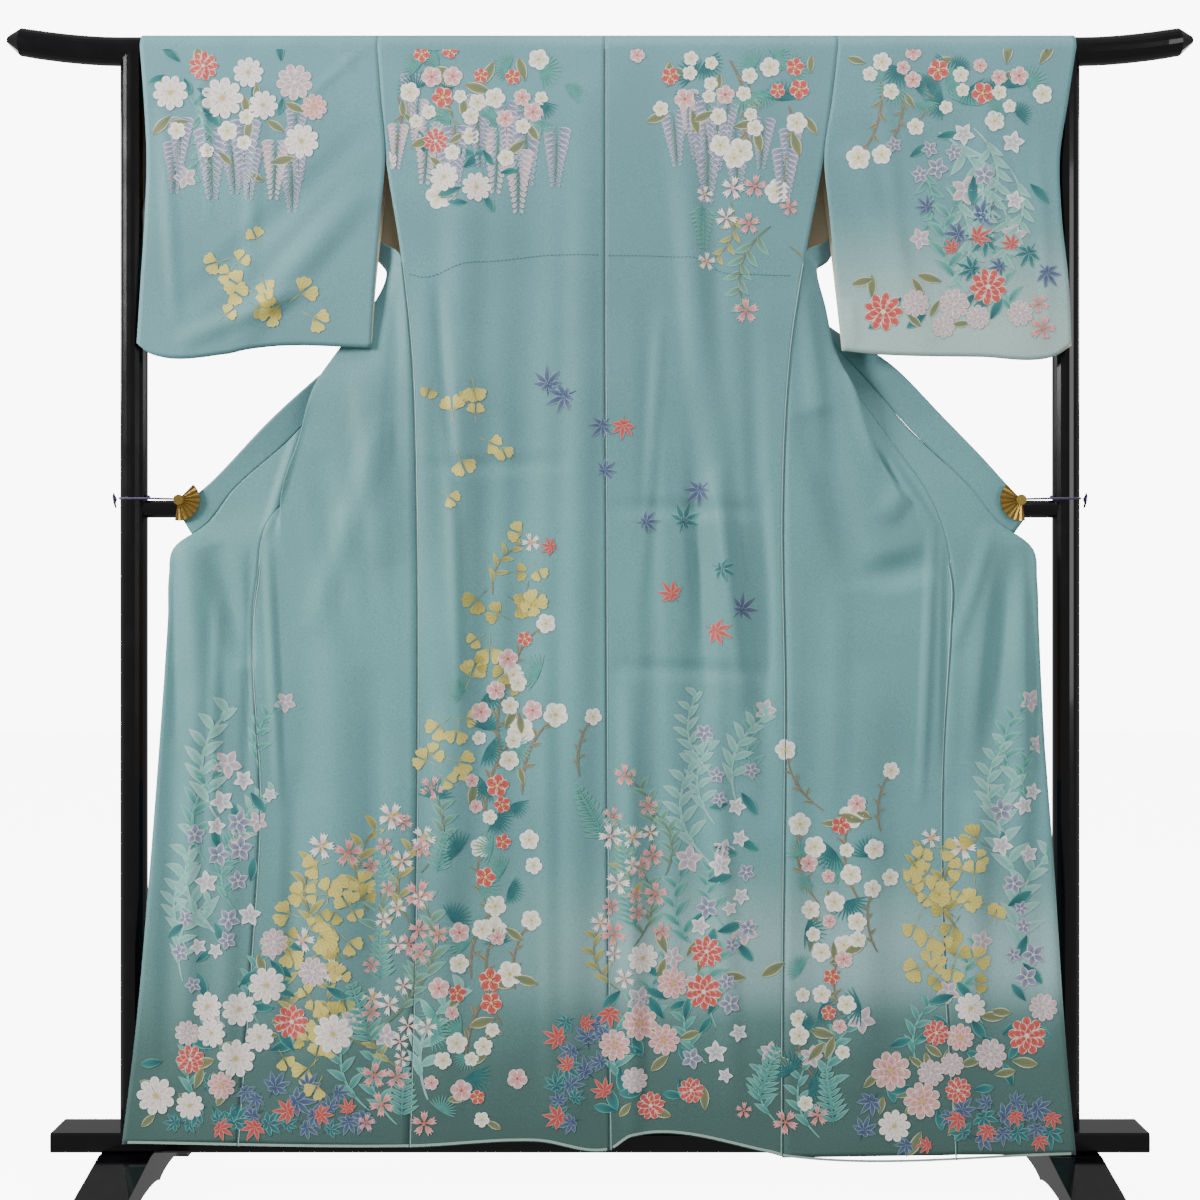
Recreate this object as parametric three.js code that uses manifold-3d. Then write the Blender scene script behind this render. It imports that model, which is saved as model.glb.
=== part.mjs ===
// A lined silk kimono spread open on a black kimono stand, seen from the wearer's back.
// Millimetres, +Z up, the floor at Z 0, the cloth's outer face towards -Y. -X is the wearer's left.
import * as THREE from "three";
import { mergeVertices } from "three/addons/utils/BufferGeometryUtils.js";
import Module from "manifold-3d";

const wasm = await Module();
wasm.setup();

const joinGap = 0.3;

const rod = { radius: 20, height: 1637, halfLength: 848, bendFrom: 690, tipRise: 17, tipLength: 26 };
const post = { radius: 19.2, x: 667 };
const bar = { radius: 12.5, height: 982 };
const board = { halfLength: 776, depth: 72, bottom: 71, top: 99 };
const foot = { width: 74, halfLength: 240, top: 70.7, tipTop: 38, tipHeight: 30, archHeight: 34, archHalf: 168 };
const cloth = { thickness: 2, overRod: 21.7 };
const made = { thickness: cloth.thickness, seam: 0.25 };
const cutter = { thickness: cloth.thickness + 2 * joinGap, seam: -joinGap };
const clip = { x: 597, height: 994, reach: 30, pleats: 9, from: -100, to: 46, front: -26.4, behind: -17.6 };
const clipCord = { radius: 1.5, height: 996 };

const colours = {
  silk: { color: 0x6f9b98, roughness: 0.55, metalness: 0 },
  silkLower: { color: 0x648c84, roughness: 0.55, metalness: 0 },
  lacquer: { color: 0x0b0b0d, roughness: 0.2, metalness: 0 },
  gilt: { color: 0xa8812c, roughness: 0.35, metalness: 0.9 },
  cord: { color: 0x241b3e, roughness: 0.8, metalness: 0 },
};

const root = new THREE.Group();

function addMesh(name, geometry, colour) {
  const mesh = new THREE.Mesh(geometry, new THREE.MeshStandardMaterial(colour));
  mesh.name = name;
  root.add(mesh);
  return mesh;
}

const mix = (a, b, t) => a + (b - a) * t;
const clamp = (value, low, high) => Math.min(high, Math.max(low, value));
const smooth = (t) => t * t * (3 - 2 * t);
const steps = (from, to, count) => Array.from({ length: count + 1 }, (_, i) => mix(from, to, i / count));
const mixPoints = (a, b, t) => a.map((value, axis) => mix(value, b[axis], t));

// Reads a column of a table at a place between its rows, along a smooth curve through them.
function readTable(rows, key, column, at) {
  const where = clamp(at, rows[0][key], rows[rows.length - 1][key]);
  const next = Math.max(1, rows.findIndex((row) => row[key] >= where));
  const four = [next - 2, next - 1, next, next + 1].map((i) => rows[clamp(i, 0, rows.length - 1)]);
  const [x0, x1, x2, x3] = four.map((row) => row[key]);
  const t = (where - x1) / (x2 - x1);
  const blend = (p0, p1, p2, p3) => {
    const into = x1 > x0 ? (p1 - p0) / (x1 - x0) : (p2 - p1) / (x2 - x1);
    const across = (p2 - p1) / (x2 - x1);
    const out = x3 > x2 ? (p3 - p2) / (x3 - x2) : across;
    const slope1 = ((into + across) / 2) * (x2 - x1);
    const slope2 = ((across + out) / 2) * (x2 - x1);
    const t2 = t * t;
    const t3 = t2 * t;
    return p1 * (2 * t3 - 3 * t2 + 1) + slope1 * (t3 - 2 * t2 + t) + p2 * (3 * t2 - 2 * t3) + slope2 * (t3 - t2);
  };
  const values = four.map((row) => row[column]);
  if (!Array.isArray(values[0])) return blend(...values);
  return values[0].map((_, axis) => blend(...values.map((value) => value[axis])));
}

// ---- Solids ----

function geometryFrom(positions, faces) {
  const geometry = new THREE.BufferGeometry();
  geometry.setAttribute("position", new THREE.Float32BufferAttribute(positions.flat(), 3));
  geometry.setIndex(faces.flat());
  geometry.computeVertexNormals();
  return geometry;
}

// Gives a sheet of four-sided faces an even thickness: a face on each side and a wall round each edge.
// shift moves the whole wall out along the sheet's normals.
function thicken(points, quads, thickness, shift) {
  const normals = points.map(() => new THREE.Vector3());
  const at = points.map((point) => new THREE.Vector3(...point));
  for (const quad of quads) {
    const [a, b, c, d] = quad.map((i) => at[i]);
    const normal = new THREE.Vector3().subVectors(c, a).cross(new THREE.Vector3().subVectors(d, b));
    quad.forEach((i) => normals[i].add(normal));
  }
  const offset = (sign) =>
    at.map((point, i) => point.clone().addScaledVector(normals[i].clone().normalize(), shift + (sign * thickness) / 2));
  const positions = [...offset(1), ...offset(-1)].map((point) => point.toArray());
  const count = points.length;
  const faces = [];
  const edges = new Map();
  for (const [a, b, c, d] of quads) {
    faces.push([a, b, c], [a, c, d], [count + a, count + c, count + b], [count + a, count + d, count + c]);
    for (const [from, to] of [[a, b], [b, c], [c, d], [d, a]]) {
      const back = `${to} ${from}`;
      if (edges.has(back)) edges.delete(back);
      else edges.set(`${from} ${to}`, [from, to]);
    }
  }
  for (const [from, to] of edges.values()) {
    faces.push([from, count + from, to], [to, count + from, count + to]);
  }
  return geometryFrom(positions, faces);
}

// A grid of points as a sheet. rows is a list of equal rows, and keep says which cells are cloth.
function gridSheet(rows, thickness, { closed = false, keep = () => true, flip = false, shift = 0 } = {}) {
  const columns = rows[0].length;
  const quads = [];
  const last = closed ? rows.length : rows.length - 1;
  for (let r = 0; r < last; r++) {
    for (let c = 0; c < columns - 1; c++) {
      if (!keep(r, c)) continue;
      const below = (r + 1) % rows.length;
      const quad = [r * columns + c, r * columns + c + 1, below * columns + c + 1, below * columns + c];
      quads.push(flip ? quad.reverse() : quad);
    }
  }
  const used = [...new Set(quads.flat())].sort((a, b) => a - b);
  const place = new Map(used.map((index, i) => [index, i]));
  const flat = rows.flat();
  return thicken(
    used.map((index) => flat[index]),
    quads.map((quad) => quad.map((index) => place.get(index))),
    thickness,
    shift,
  );
}

// Draws the first and last point of each row in by the seam allowance, so that neighbours stay apart.
function drawIn(rows, atStart, atEnd) {
  const pull = (from, towards, distance) => {
    const a = new THREE.Vector3(...from);
    const step = new THREE.Vector3(...towards).sub(a);
    return a.addScaledVector(step.normalize(), distance).toArray();
  };
  return rows.map((row) => {
    const drawn = row.map((point) => [...point]);
    if (atStart) drawn[0] = pull(row[0], row[1], atStart);
    if (atEnd) drawn[row.length - 1] = pull(row[row.length - 1], row[row.length - 2], atEnd);
    return drawn;
  });
}

// A round bar along a path, with its own radius at each step and flat ends.
function sweep(path, radiusAt, sides) {
  const points = path.map((point) => new THREE.Vector3(...point));
  const frames = new THREE.CatmullRomCurve3(points, false, "centripetal");
  const count = points.length - 1;
  const { normals, binormals } = frames.computeFrenetFrames(count, false);
  const positions = [];
  for (let i = 0; i <= count; i++) {
    for (let k = 0; k < sides; k++) {
      const angle = (2 * Math.PI * k) / sides;
      const radius = radiusAt(i / count, angle);
      positions.push(
        points[i]
          .clone()
          .addScaledVector(normals[i], radius * Math.cos(angle))
          .addScaledVector(binormals[i], radius * Math.sin(angle))
          .toArray(),
      );
    }
  }
  const faces = [];
  for (let i = 0; i < count; i++) {
    for (let k = 0; k < sides; k++) {
      const a = i * sides + k;
      const b = i * sides + ((k + 1) % sides);
      faces.push([a, b, b + sides], [a, b + sides, a + sides]);
    }
  }
  for (let k = 1; k < sides - 1; k++) {
    faces.push([0, k + 1, k]);
    faces.push([count * sides, count * sides + k, count * sides + k + 1]);
  }
  return geometryFrom(positions, faces);
}

function solidOf(geometry) {
  const bare = geometry.clone();
  bare.deleteAttribute("normal");
  bare.deleteAttribute("uv");
  const merged = mergeVertices(bare, 1e-4);
  return new wasm.Manifold(
    new wasm.Mesh({
      numProp: 3,
      vertProperties: new Float32Array(merged.attributes.position.array),
      triVerts: new Uint32Array(merged.index.array),
    }),
  );
}

function geometryOf(solid) {
  const mesh = solid.getMesh();
  const geometry = new THREE.BufferGeometry();
  geometry.setAttribute("position", new THREE.BufferAttribute(new Float32Array(mesh.vertProperties), 3));
  geometry.setIndex([...mesh.triVerts]);
  geometry.computeVertexNormals();
  return geometry;
}

// Cuts away whatever of a piece would touch its neighbours, and keeps what hangs together.
function cutClear(geometry, cutters) {
  const cut = cutters.reduce((solid, cutter) => solid.subtract(solidOf(cutter)), solidOf(geometry));
  return geometryOf(cut.decompose().sort((a, b) => b.volume() - a.volume())[0]);
}

// ---- The stand ----

function addTopRod() {
  const straight = rod.bendFrom;
  const lift = (x) => rod.tipRise * Math.max(0, (Math.abs(x) - straight) / (rod.halfLength - straight)) ** 1.7;
  const half = [...steps(0, straight, 2), ...steps(straight, rod.halfLength, 8).slice(1)];
  const xs = [...half.slice(1).reverse().map((x) => -x), ...half];
  const path = xs.map((x) => [x, 0, rod.height + lift(x)]);
  // The tips are rounded off over the last stretch: a quarter ellipse.
  const radiusAt = (t) => {
    const x = Math.abs(xs[Math.round(t * (xs.length - 1))]);
    const into = clamp((x - (rod.halfLength - rod.tipLength)) / rod.tipLength, 0, 0.97);
    return rod.radius * Math.sqrt(1 - into * into);
  };
  addMesh("top_rod", sweep(path, radiusAt, 20), colours.lacquer);
}

function uprightCylinder(radius, bottom, top, sides) {
  const geometry = new THREE.CylinderGeometry(radius, radius, top - bottom, sides);
  geometry.rotateX(Math.PI / 2);
  geometry.translate(0, 0, (bottom + top) / 2);
  return geometry;
}

function addPost(name, x) {
  const shaft = uprightCylinder(post.radius, board.top + joinGap, rod.height - 7, 20);
  shaft.translate(x, 0, 0);
  const seat = new THREE.CylinderGeometry(rod.radius + joinGap, rod.radius + joinGap, 4 * post.radius, 20);
  seat.rotateZ(Math.PI / 2);
  seat.translate(x, 0, rod.height);
  const socket = new THREE.CylinderGeometry(bar.radius + joinGap, bar.radius + joinGap, 2 * post.radius, 16);
  socket.rotateZ(Math.PI / 2);
  socket.translate(x - Math.sign(x) * post.radius, 0, bar.height);
  const coped = solidOf(shaft).subtract(solidOf(seat)).subtract(solidOf(socket));
  addMesh(name, geometryOf(coped), colours.lacquer);
}

function addMidBar() {
  const halfLength = post.x - joinGap;
  const geometry = new THREE.CylinderGeometry(bar.radius, bar.radius, 2 * halfLength, 16);
  geometry.rotateZ(Math.PI / 2);
  geometry.translate(0, 0, bar.height);
  addMesh("mid_bar", geometry, colours.lacquer);
}

function addBaseBoard() {
  const edge = 3;
  const half = board.depth / 2;
  const outline = new THREE.Shape();
  outline.moveTo(-half + edge, board.bottom);
  outline.lineTo(half - edge, board.bottom);
  outline.lineTo(half, board.bottom + edge);
  outline.lineTo(half, board.top - edge);
  outline.lineTo(half - edge, board.top);
  outline.lineTo(-half + edge, board.top);
  outline.lineTo(-half, board.top - edge);
  outline.lineTo(-half, board.bottom + edge);
  const geometry = new THREE.ExtrudeGeometry(outline, { depth: 2 * board.halfLength, bevelEnabled: false });
  geometry.translate(0, 0, -board.halfLength);
  geometry.rotateX(Math.PI / 2);
  geometry.rotateZ(Math.PI / 2);
  addMesh("base_board", geometry, colours.lacquer);
}

// A foot is a beam that runs front to back, sloping to its tips, with an arch cut under it.
function addFoot(name, x) {
  const outline = new THREE.Shape();
  const { halfLength, top, tipTop, tipHeight, archHeight, archHalf } = foot;
  const flat = board.depth / 2 + 14;
  outline.moveTo(-halfLength, 0);
  outline.lineTo(-archHalf, 0);
  outline.quadraticCurveTo(-archHalf * 0.86, archHeight * 0.9, -archHalf * 0.34, archHeight * 0.86);
  outline.quadraticCurveTo(-archHalf * 0.1, archHeight * 0.84, 0, archHeight * 0.62);
  outline.quadraticCurveTo(archHalf * 0.1, archHeight * 0.84, archHalf * 0.34, archHeight * 0.86);
  outline.quadraticCurveTo(archHalf * 0.86, archHeight * 0.9, archHalf, 0);
  outline.lineTo(halfLength, 0);
  outline.lineTo(halfLength, tipHeight);
  outline.quadraticCurveTo(halfLength, tipTop, halfLength - 16, tipTop);
  outline.quadraticCurveTo(halfLength * 0.62, top * 0.72, flat, top);
  outline.lineTo(-flat, top);
  outline.quadraticCurveTo(-halfLength * 0.62, top * 0.72, -halfLength + 16, tipTop);
  outline.quadraticCurveTo(-halfLength, tipTop, -halfLength, tipHeight);
  const geometry = new THREE.ExtrudeGeometry(outline, { depth: foot.width, bevelEnabled: false, curveSegments: 6 });
  geometry.translate(0, 0, -foot.width / 2);
  geometry.rotateX(Math.PI / 2);
  geometry.rotateZ(Math.PI / 2);
  geometry.translate(x, 0, 0);
  addMesh(name, geometry, colours.lacquer);
}

addTopRod();
addPost("post_left", -post.x);
addPost("post_right", post.x);
addMidBar();
addBaseBoard();
addFoot("foot_left", -post.x);
addFoot("foot_right", post.x);

// ---- The cloth ----

// The body's back: where its centre and side seams run at each height, how far forward it hangs, and its hem.
const back = {
  left: [
    { height: 82, centre: 14, side: -268, forward: -45 },
    { height: 350, centre: 11, side: -261, forward: -40 },
    { height: 700, centre: 9, side: -258, forward: -34 },
    { height: 1000, centre: 8, side: -260, forward: -30 },
    { height: 1200, centre: 7, side: -267, forward: -27 },
    { height: 1345, centre: 7, side: -283, forward: -24 },
    { height: 1480, centre: 7, side: -304, forward: -22.5 },
    { height: 1637, centre: 7, side: -316, forward: -21.7 },
  ],
  right: [
    { height: 82, centre: 14, side: 256, forward: -45 },
    { height: 350, centre: 11, side: 258, forward: -40 },
    { height: 700, centre: 9, side: 262, forward: -34 },
    { height: 1000, centre: 8, side: 259, forward: -30 },
    { height: 1200, centre: 7, side: 270, forward: -27 },
    { height: 1345, centre: 7, side: 292, forward: -24 },
    { height: 1480, centre: 7, side: 317, forward: -22.5 },
    { height: 1637, centre: 7, side: 338, forward: -21.7 },
  ],
};

const hem = [
  { x: -680, height: 87 },
  { x: -268, height: 82 },
  { x: -90, height: 90 },
  { x: 13, height: 78 },
  { x: 45, height: 97 },
  { x: 240, height: 74 },
  { x: 262, height: 68 },
  { x: 680, height: 71 },
];

// The swung-out front of each side. Each row is a weft line, so far down from the shoulder: it starts at
// the side seam, goes out to the fold, turns back to the tuck behind it, and ends at the overlap's seam.
const front = {
  left: [
    { drop: 0, side: [-316, 21.7, 1637], fold: [-262, 21.7, 1637], tuck: [-180, 21.7, 1637], seam: [-95, 21.7, 1637] },
    { drop: 86, side: [-311, 21, 1556], fold: [-280, 24, 1550], tuck: [-212, 28, 1542], seam: [-128, 30, 1552] },
    { drop: 166, side: [-312, 20, 1480], fold: [-322, 24, 1462], tuck: [-250, 34, 1432], seam: [-172, 46, 1464] },
    { drop: 220, side: [-324, 16, 1420], fold: [-332, 20, 1392], tuck: [-262, 40, 1360], seam: [-202, 48, 1412] },
    { drop: 262, side: [-320, 6, 1372], fold: [-326, 12, 1348], tuck: [-264, 40, 1318], seam: [-228, 48, 1370] },
    { drop: 300, side: [-284, -22, 1343], fold: [-306, -8, 1318], tuck: [-262, 34, 1280], seam: [-254, 46, 1327] },
    { drop: 366, side: [-276, -24, 1271], fold: [-334, -8, 1262], tuck: [-276, 18, 1222], seam: [-291, 38, 1266] },
    { drop: 416, side: [-271, -26, 1221], fold: [-372, -12, 1215], tuck: [-306, 6, 1184], seam: [-318, 26, 1220] },
    { drop: 486, side: [-267, -27, 1151], fold: [-411, -19, 1155], tuck: [-352, -6, 1142], seam: [-362, 8, 1153] },
    { drop: 566, side: [-264, -29, 1071], fold: [-430, -25, 1080], tuck: [-392, -16, 1074], seam: [-402, -7, 1078] },
    { drop: 646, side: [-260, -30, 991], fold: [-452, -30, 1004], tuck: [-430, -24, 1002], seam: [-440, -18, 1003] },
    { drop: 706, side: [-259, -31, 931], fold: [-450, -32, 948], tuck: [-463, -29, 951], seam: [-475, -27, 953] },
    { drop: 760, side: [-258, -32, 877], fold: [-440, -32, 888], tuck: [-463, -32, 890], seam: [-484, -32, 892] },
    { drop: 830, side: [-258, -33, 807], fold: [-442, -33, 818], tuck: [-467, -33, 819], seam: [-492, -33, 820] },
    { drop: 1070, side: [-260, -36, 567], fold: [-432, -36, 575], tuck: [-456, -36, 576], seam: [-480, -36, 577] },
    { drop: 1300, side: [-261, -41, 337], fold: [-442, -41, 342], tuck: [-467, -41, 343], seam: [-492, -41, 343] },
    { drop: 1555, side: [-268, -45, 82], fold: [-458, -45, 86], tuck: [-484, -45, 87], seam: [-510, -45, 88] },
  ],
  right: [
    { drop: 0, side: [338, 21.7, 1637], fold: [268, 21.7, 1637], tuck: [182, 21.7, 1637], seam: [95, 21.7, 1637] },
    { drop: 86, side: [329, 21, 1556], fold: [288, 24, 1550], tuck: [214, 28, 1542], seam: [132, 30, 1552] },
    { drop: 166, side: [318, 20, 1480], fold: [334, 24, 1462], tuck: [254, 34, 1432], seam: [176, 46, 1464] },
    { drop: 220, side: [338, 15, 1410], fold: [342, 20, 1380], tuck: [264, 40, 1360], seam: [208, 48, 1412] },
    { drop: 262, side: [326, 4, 1368], fold: [330, 12, 1340], tuck: [264, 40, 1318], seam: [233, 48, 1370] },
    { drop: 300, side: [291, -22, 1346], fold: [311, -8, 1326], tuck: [266, 34, 1280], seam: [258, 46, 1330] },
    { drop: 366, side: [276, -24, 1271], fold: [325, -8, 1266], tuck: [280, 18, 1222], seam: [296, 38, 1268] },
    { drop: 416, side: [270, -26, 1221], fold: [336, -12, 1212], tuck: [300, 6, 1184], seam: [324, 26, 1222] },
    { drop: 486, side: [268, -27, 1151], fold: [366, -19, 1148], tuck: [334, -6, 1136], seam: [362, 8, 1158] },
    { drop: 566, side: [266, -29, 1071], fold: [390, -26, 1070], tuck: [374, -16, 1066], seam: [410, -7, 1086] },
    { drop: 646, side: [259, -30, 991], fold: [424, -31, 998], tuck: [432, -24, 1000], seam: [462, -19, 1012] },
    { drop: 706, side: [258, -31, 931], fold: [446, -32, 944], tuck: [466, -30, 948], seam: [486, -28, 954] },
    { drop: 760, side: [259, -32, 877], fold: [446, -32, 884], tuck: [470, -32, 886], seam: [498, -32, 888] },
    { drop: 830, side: [260, -33, 807], fold: [446, -33, 812], tuck: [470, -33, 813], seam: [496, -33, 814] },
    { drop: 1070, side: [261, -36, 567], fold: [440, -36, 569], tuck: [461, -36, 570], seam: [483, -36, 570] },
    { drop: 1300, side: [258, -41, 337], fold: [442, -41, 338], tuck: [464, -41, 338], seam: [486, -41, 338] },
    { drop: 1555, side: [256, -45, 68], fold: [450, -45, 71], tuck: [475, -45, 71], seam: [501, -45, 72] },
  ],
};

// The overlap's outer edge, which the collar covers down to its end.
const overlapEdge = {
  left: [
    { drop: 166, edge: [-176, 47, 1461] },
    { drop: 300, edge: [-264, 48, 1318] },
    { drop: 366, edge: [-310, 38, 1250] },
    { drop: 486, edge: [-386, 7, 1146] },
    { drop: 566, edge: [-444, -6, 1080] },
    { drop: 646, edge: [-520, -17, 1010] },
    { drop: 700, edge: [-558, -20, 960] },
    { drop: 740, edge: [-603, -24, 926] },
    { drop: 778, edge: [-610, -28, 888] },
    { drop: 840, edge: [-611, -32, 826] },
    { drop: 985, edge: [-620, -35, 683] },
    { drop: 1172, edge: [-633, -38, 496] },
    { drop: 1427, edge: [-654, -43, 241] },
    { drop: 1555, edge: [-672, -45, 87] },
  ],
  right: [
    { drop: 166, edge: [180, 47, 1461] },
    { drop: 300, edge: [268, 48, 1320] },
    { drop: 366, edge: [316, 38, 1252] },
    { drop: 486, edge: [396, 7, 1152] },
    { drop: 566, edge: [452, -6, 1086] },
    { drop: 646, edge: [526, -17, 1012] },
    { drop: 700, edge: [566, -20, 962] },
    { drop: 740, edge: [612, -24, 926] },
    { drop: 778, edge: [618, -28, 880] },
    { drop: 840, edge: [620, -32, 820] },
    { drop: 985, edge: [626, -35, 680] },
    { drop: 1172, edge: [638, -38, 490] },
    { drop: 1427, edge: [656, -43, 220] },
    { drop: 1555, edge: [669, -45, 72] },
  ],
};

// The collar's free edge, from the neck to the collar's end just under the clip.
const collarEdge = {
  left: [
    { drop: 0, edge: [-64, 34, 1588] },
    { drop: 86, edge: [-92, 50, 1525] },
    { drop: 166, edge: [-142, 78, 1436] },
    { drop: 300, edge: [-272, 90, 1306] },
    { drop: 366, edge: [-338, 60, 1242] },
    { drop: 486, edge: [-411, 0, 1166] },
    { drop: 566, edge: [-473, -11, 1106] },
    { drop: 646, edge: [-548, -19, 1024] },
    { drop: 690, edge: [-588, -21, 986] },
    { drop: 718, edge: [-592, -22, 966] },
  ],
  right: [
    { drop: 0, edge: [78, 34, 1588] },
    { drop: 86, edge: [98, 50, 1525] },
    { drop: 166, edge: [146, 78, 1436] },
    { drop: 300, edge: [276, 90, 1308] },
    { drop: 366, edge: [344, 60, 1248] },
    { drop: 486, edge: [421, 0, 1186] },
    { drop: 566, edge: [490, -11, 1112] },
    { drop: 646, edge: [560, -19, 1036] },
    { drop: 690, edge: [597, -21, 990] },
    { drop: 718, edge: [602, -22, 966] },
  ],
};

// Soft folds: a ridge (forward) or a valley (back) along a line, fading towards both ends.
const folds = [
  { from: [-190, 1600], to: [-225, 120], halfWidth: 40, forward: 9 },
  { from: [-95, 1500], to: [-130, 300], halfWidth: 42, forward: -7 },
  { from: [-20, 1600], to: [-40, 100], halfWidth: 34, forward: 7 },
  { from: [112, 1560], to: [200, 600], halfWidth: 34, forward: 12 },
  { from: [160, 1450], to: [130, 250], halfWidth: 36, forward: -8 },
  { from: [40, 760], to: [48, 90], halfWidth: 22, forward: 10 },
  { from: [300, 1120], to: [372, 870], halfWidth: 44, forward: -16 },
  { from: [372, 880], to: [470, 905], halfWidth: 34, forward: -10 },
  { from: [-582, 950], to: [-560, 640], halfWidth: 30, forward: 9 },
  { from: [-548, 930], to: [-500, 760], halfWidth: 28, forward: -10 },
  { from: [-600, 760], to: [-610, 180], halfWidth: 26, forward: -7 },
  { from: [582, 930], to: [532, 560], halfWidth: 28, forward: -11 },
  { from: [600, 900], to: [590, 420], halfWidth: 24, forward: 9 },
  { from: [545, 900], to: [520, 200], halfWidth: 30, forward: 8 },
  { from: [380, 760], to: [370, 150], halfWidth: 46, forward: 9 },
  { from: [-370, 980], to: [-370, 160], halfWidth: 50, forward: 9 },
];

function foldDepth(x, z) {
  let sum = 0;
  for (const { from, to, halfWidth, forward } of folds) {
    const run = [to[0] - from[0], to[1] - from[1]];
    const length = Math.hypot(...run);
    const along = ((x - from[0]) * run[0] + (z - from[1]) * run[1]) / length ** 2;
    const aside = ((x - from[0]) * run[1] - (z - from[1]) * run[0]) / length;
    if (along <= 0 || along >= 1 || Math.abs(aside) >= halfWidth) continue;
    sum += forward * Math.cos((aside / halfWidth) * (Math.PI / 2)) ** 2 * Math.min(1, 4 * along * (1 - along)) ** 0.7;
  }
  return sum;
}

const folded = ([x, y, z]) => [x, y - foldDepth(x, z), z];

// The cloth that lies over the rod, at an angle from -90 (the wearer's back) to 90 degrees.
const overRod = (x, angle) => [x, cloth.overRod * Math.sin(angle), rod.height + cloth.overRod * Math.cos(angle)];

function backPoint(side, across, down) {
  const guess = mix(rod.height, 80, down);
  const x = mix(readTable(back[side], "height", "centre", guess), readTable(back[side], "height", "side", guess), across);
  const z = mix(rod.height, readTable(hem, "x", "height", x), down);
  return folded([x, readTable(back[side], "height", "forward", z), z]);
}

// Goes along a line of straight stretches whose corners are rounded by their own share of each stretch.
function roundedLine(points, rounding, at) {
  const corner = Math.round(at);
  const share = rounding[corner] ?? 0;
  const off = at - corner;
  if (share && Math.abs(off) < share) {
    const before = mixPoints(points[corner], points[corner - 1], share);
    const after = mixPoints(points[corner], points[corner + 1], share);
    const t = (off + share) / (2 * share);
    return mixPoints(mixPoints(before, points[corner], t), mixPoints(points[corner], after, t), t);
  }
  const start = clamp(Math.floor(at), 0, points.length - 2);
  return mixPoints(points[start], points[start + 1], at - start);
}

// Under the armhole the front's side edge is sewn to the back's, so it follows the same line.
const armholeEnd = 300;

function frontPoint(side, at, drop) {
  const guides = ["side", "fold", "tuck", "seam"].map((column) => readTable(front[side], "drop", column, drop));
  if (drop >= armholeEnd) {
    const z = guides[0][2];
    guides[0] = [readTable(back[side], "height", "side", z), readTable(back[side], "height", "forward", z), z];
  }
  return folded(roundedLine(guides, [0, 0.1, 0.4, 0], at));
}

function overlapPoint(side, across, drop) {
  const inner = readTable(front[side], "drop", "seam", drop);
  const outer = readTable(overlapEdge[side], "drop", "edge", drop);
  return folded(mixPoints(inner, outer, across));
}

function bodyPanel(side, { thickness, seam }) {
  const neckShare = 0.3;
  const neckColumns = 2;
  const across = [0, 0.15, neckShare, 0.44, 0.58, 0.72, 0.86, 0.95, 1];
  const frontAt = [3, 2.4, 1.6, 1.12, 0.88, 0.4, 0];
  const rows = [];
  for (const down of steps(1, 0, 18)) rows.push(across.map((share) => backPoint(side, share, down)));
  const top = rows[rows.length - 1];
  for (const angle of [-60, -30, 0, 30, 60, 90]) {
    rows.push(top.map(([x]) => overRod(x, (angle * Math.PI) / 180)));
  }
  const neckRow = rows.length - 1;
  const drops = [22, 54, 86, 126, 166, 195, 220, 243, 262, 281, 300, 330, 366, 416, 450, 486, 526, 566, 606, 646, 676,
    706, 735, 760, 795, 830, 900, 985, 1070, 1160, 1250, 1350, 1450, 1555];
  for (const drop of drops) {
    const outer = frontAt.map((at) => frontPoint(side, at, drop));
    rows.push([...Array.from({ length: neckColumns }, () => [0, 0, 0]), ...outer]);
  }
  const drawn = rows.map((row, r) => {
    const cut = r > neckRow ? neckColumns : 0;
    const [part] = drawIn([row.slice(cut)], seam, seam);
    return [...row.slice(0, cut), ...part];
  });
  const keep = (r, c) => r < neckRow || c >= neckColumns;
  return gridSheet(drawn, thickness, { keep, flip: side === "left" });
}

function overlapPanel(side, { thickness, seam }) {
  const drops = [176, 220, 262, 300, 330, 366, 416, 450, 486, 526, 566, 606, 646, 676, 706, 735, 760, 795, 830, 900,
    985, 1070, 1160, 1250, 1350, 1450, 1555];
  const rows = drops.map((drop) => [0, 0.33, 0.67, 1].map((share) => overlapPoint(side, share, drop)));
  return gridSheet(drawIn(rows, seam, seam), thickness, { flip: side === "right" });
}

// The collar runs from one clip up to the neck, round it and down to the other clip.
function collarSection(side, drop) {
  const table = drop < 170 ? front[side].map((row) => ({ drop: row.drop, edge: row.seam })) : overlapEdge[side];
  return [readTable(table, "drop", "edge", drop), readTable(collarEdge[side], "drop", "edge", drop)];
}

function collarPiece(drops, { thickness, seam }, shift) {
  const spread = ([inner, outer]) => [0, 0.5, 1].map((share) => mixPoints(inner, outer, share));
  const half = (side) => drops.map((drop) => spread(collarSection(side, drop)));
  const middle = [-50, 7, 64].map((x) => spread([[x, cloth.overRod, rod.height], [x * 0.8, 34, 1584]]));
  const rows = [...half("left").reverse(), ...middle, ...half("right")];
  return gridSheet(drawIn(rows, seam, 0), thickness, { flip: true, shift });
}

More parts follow.
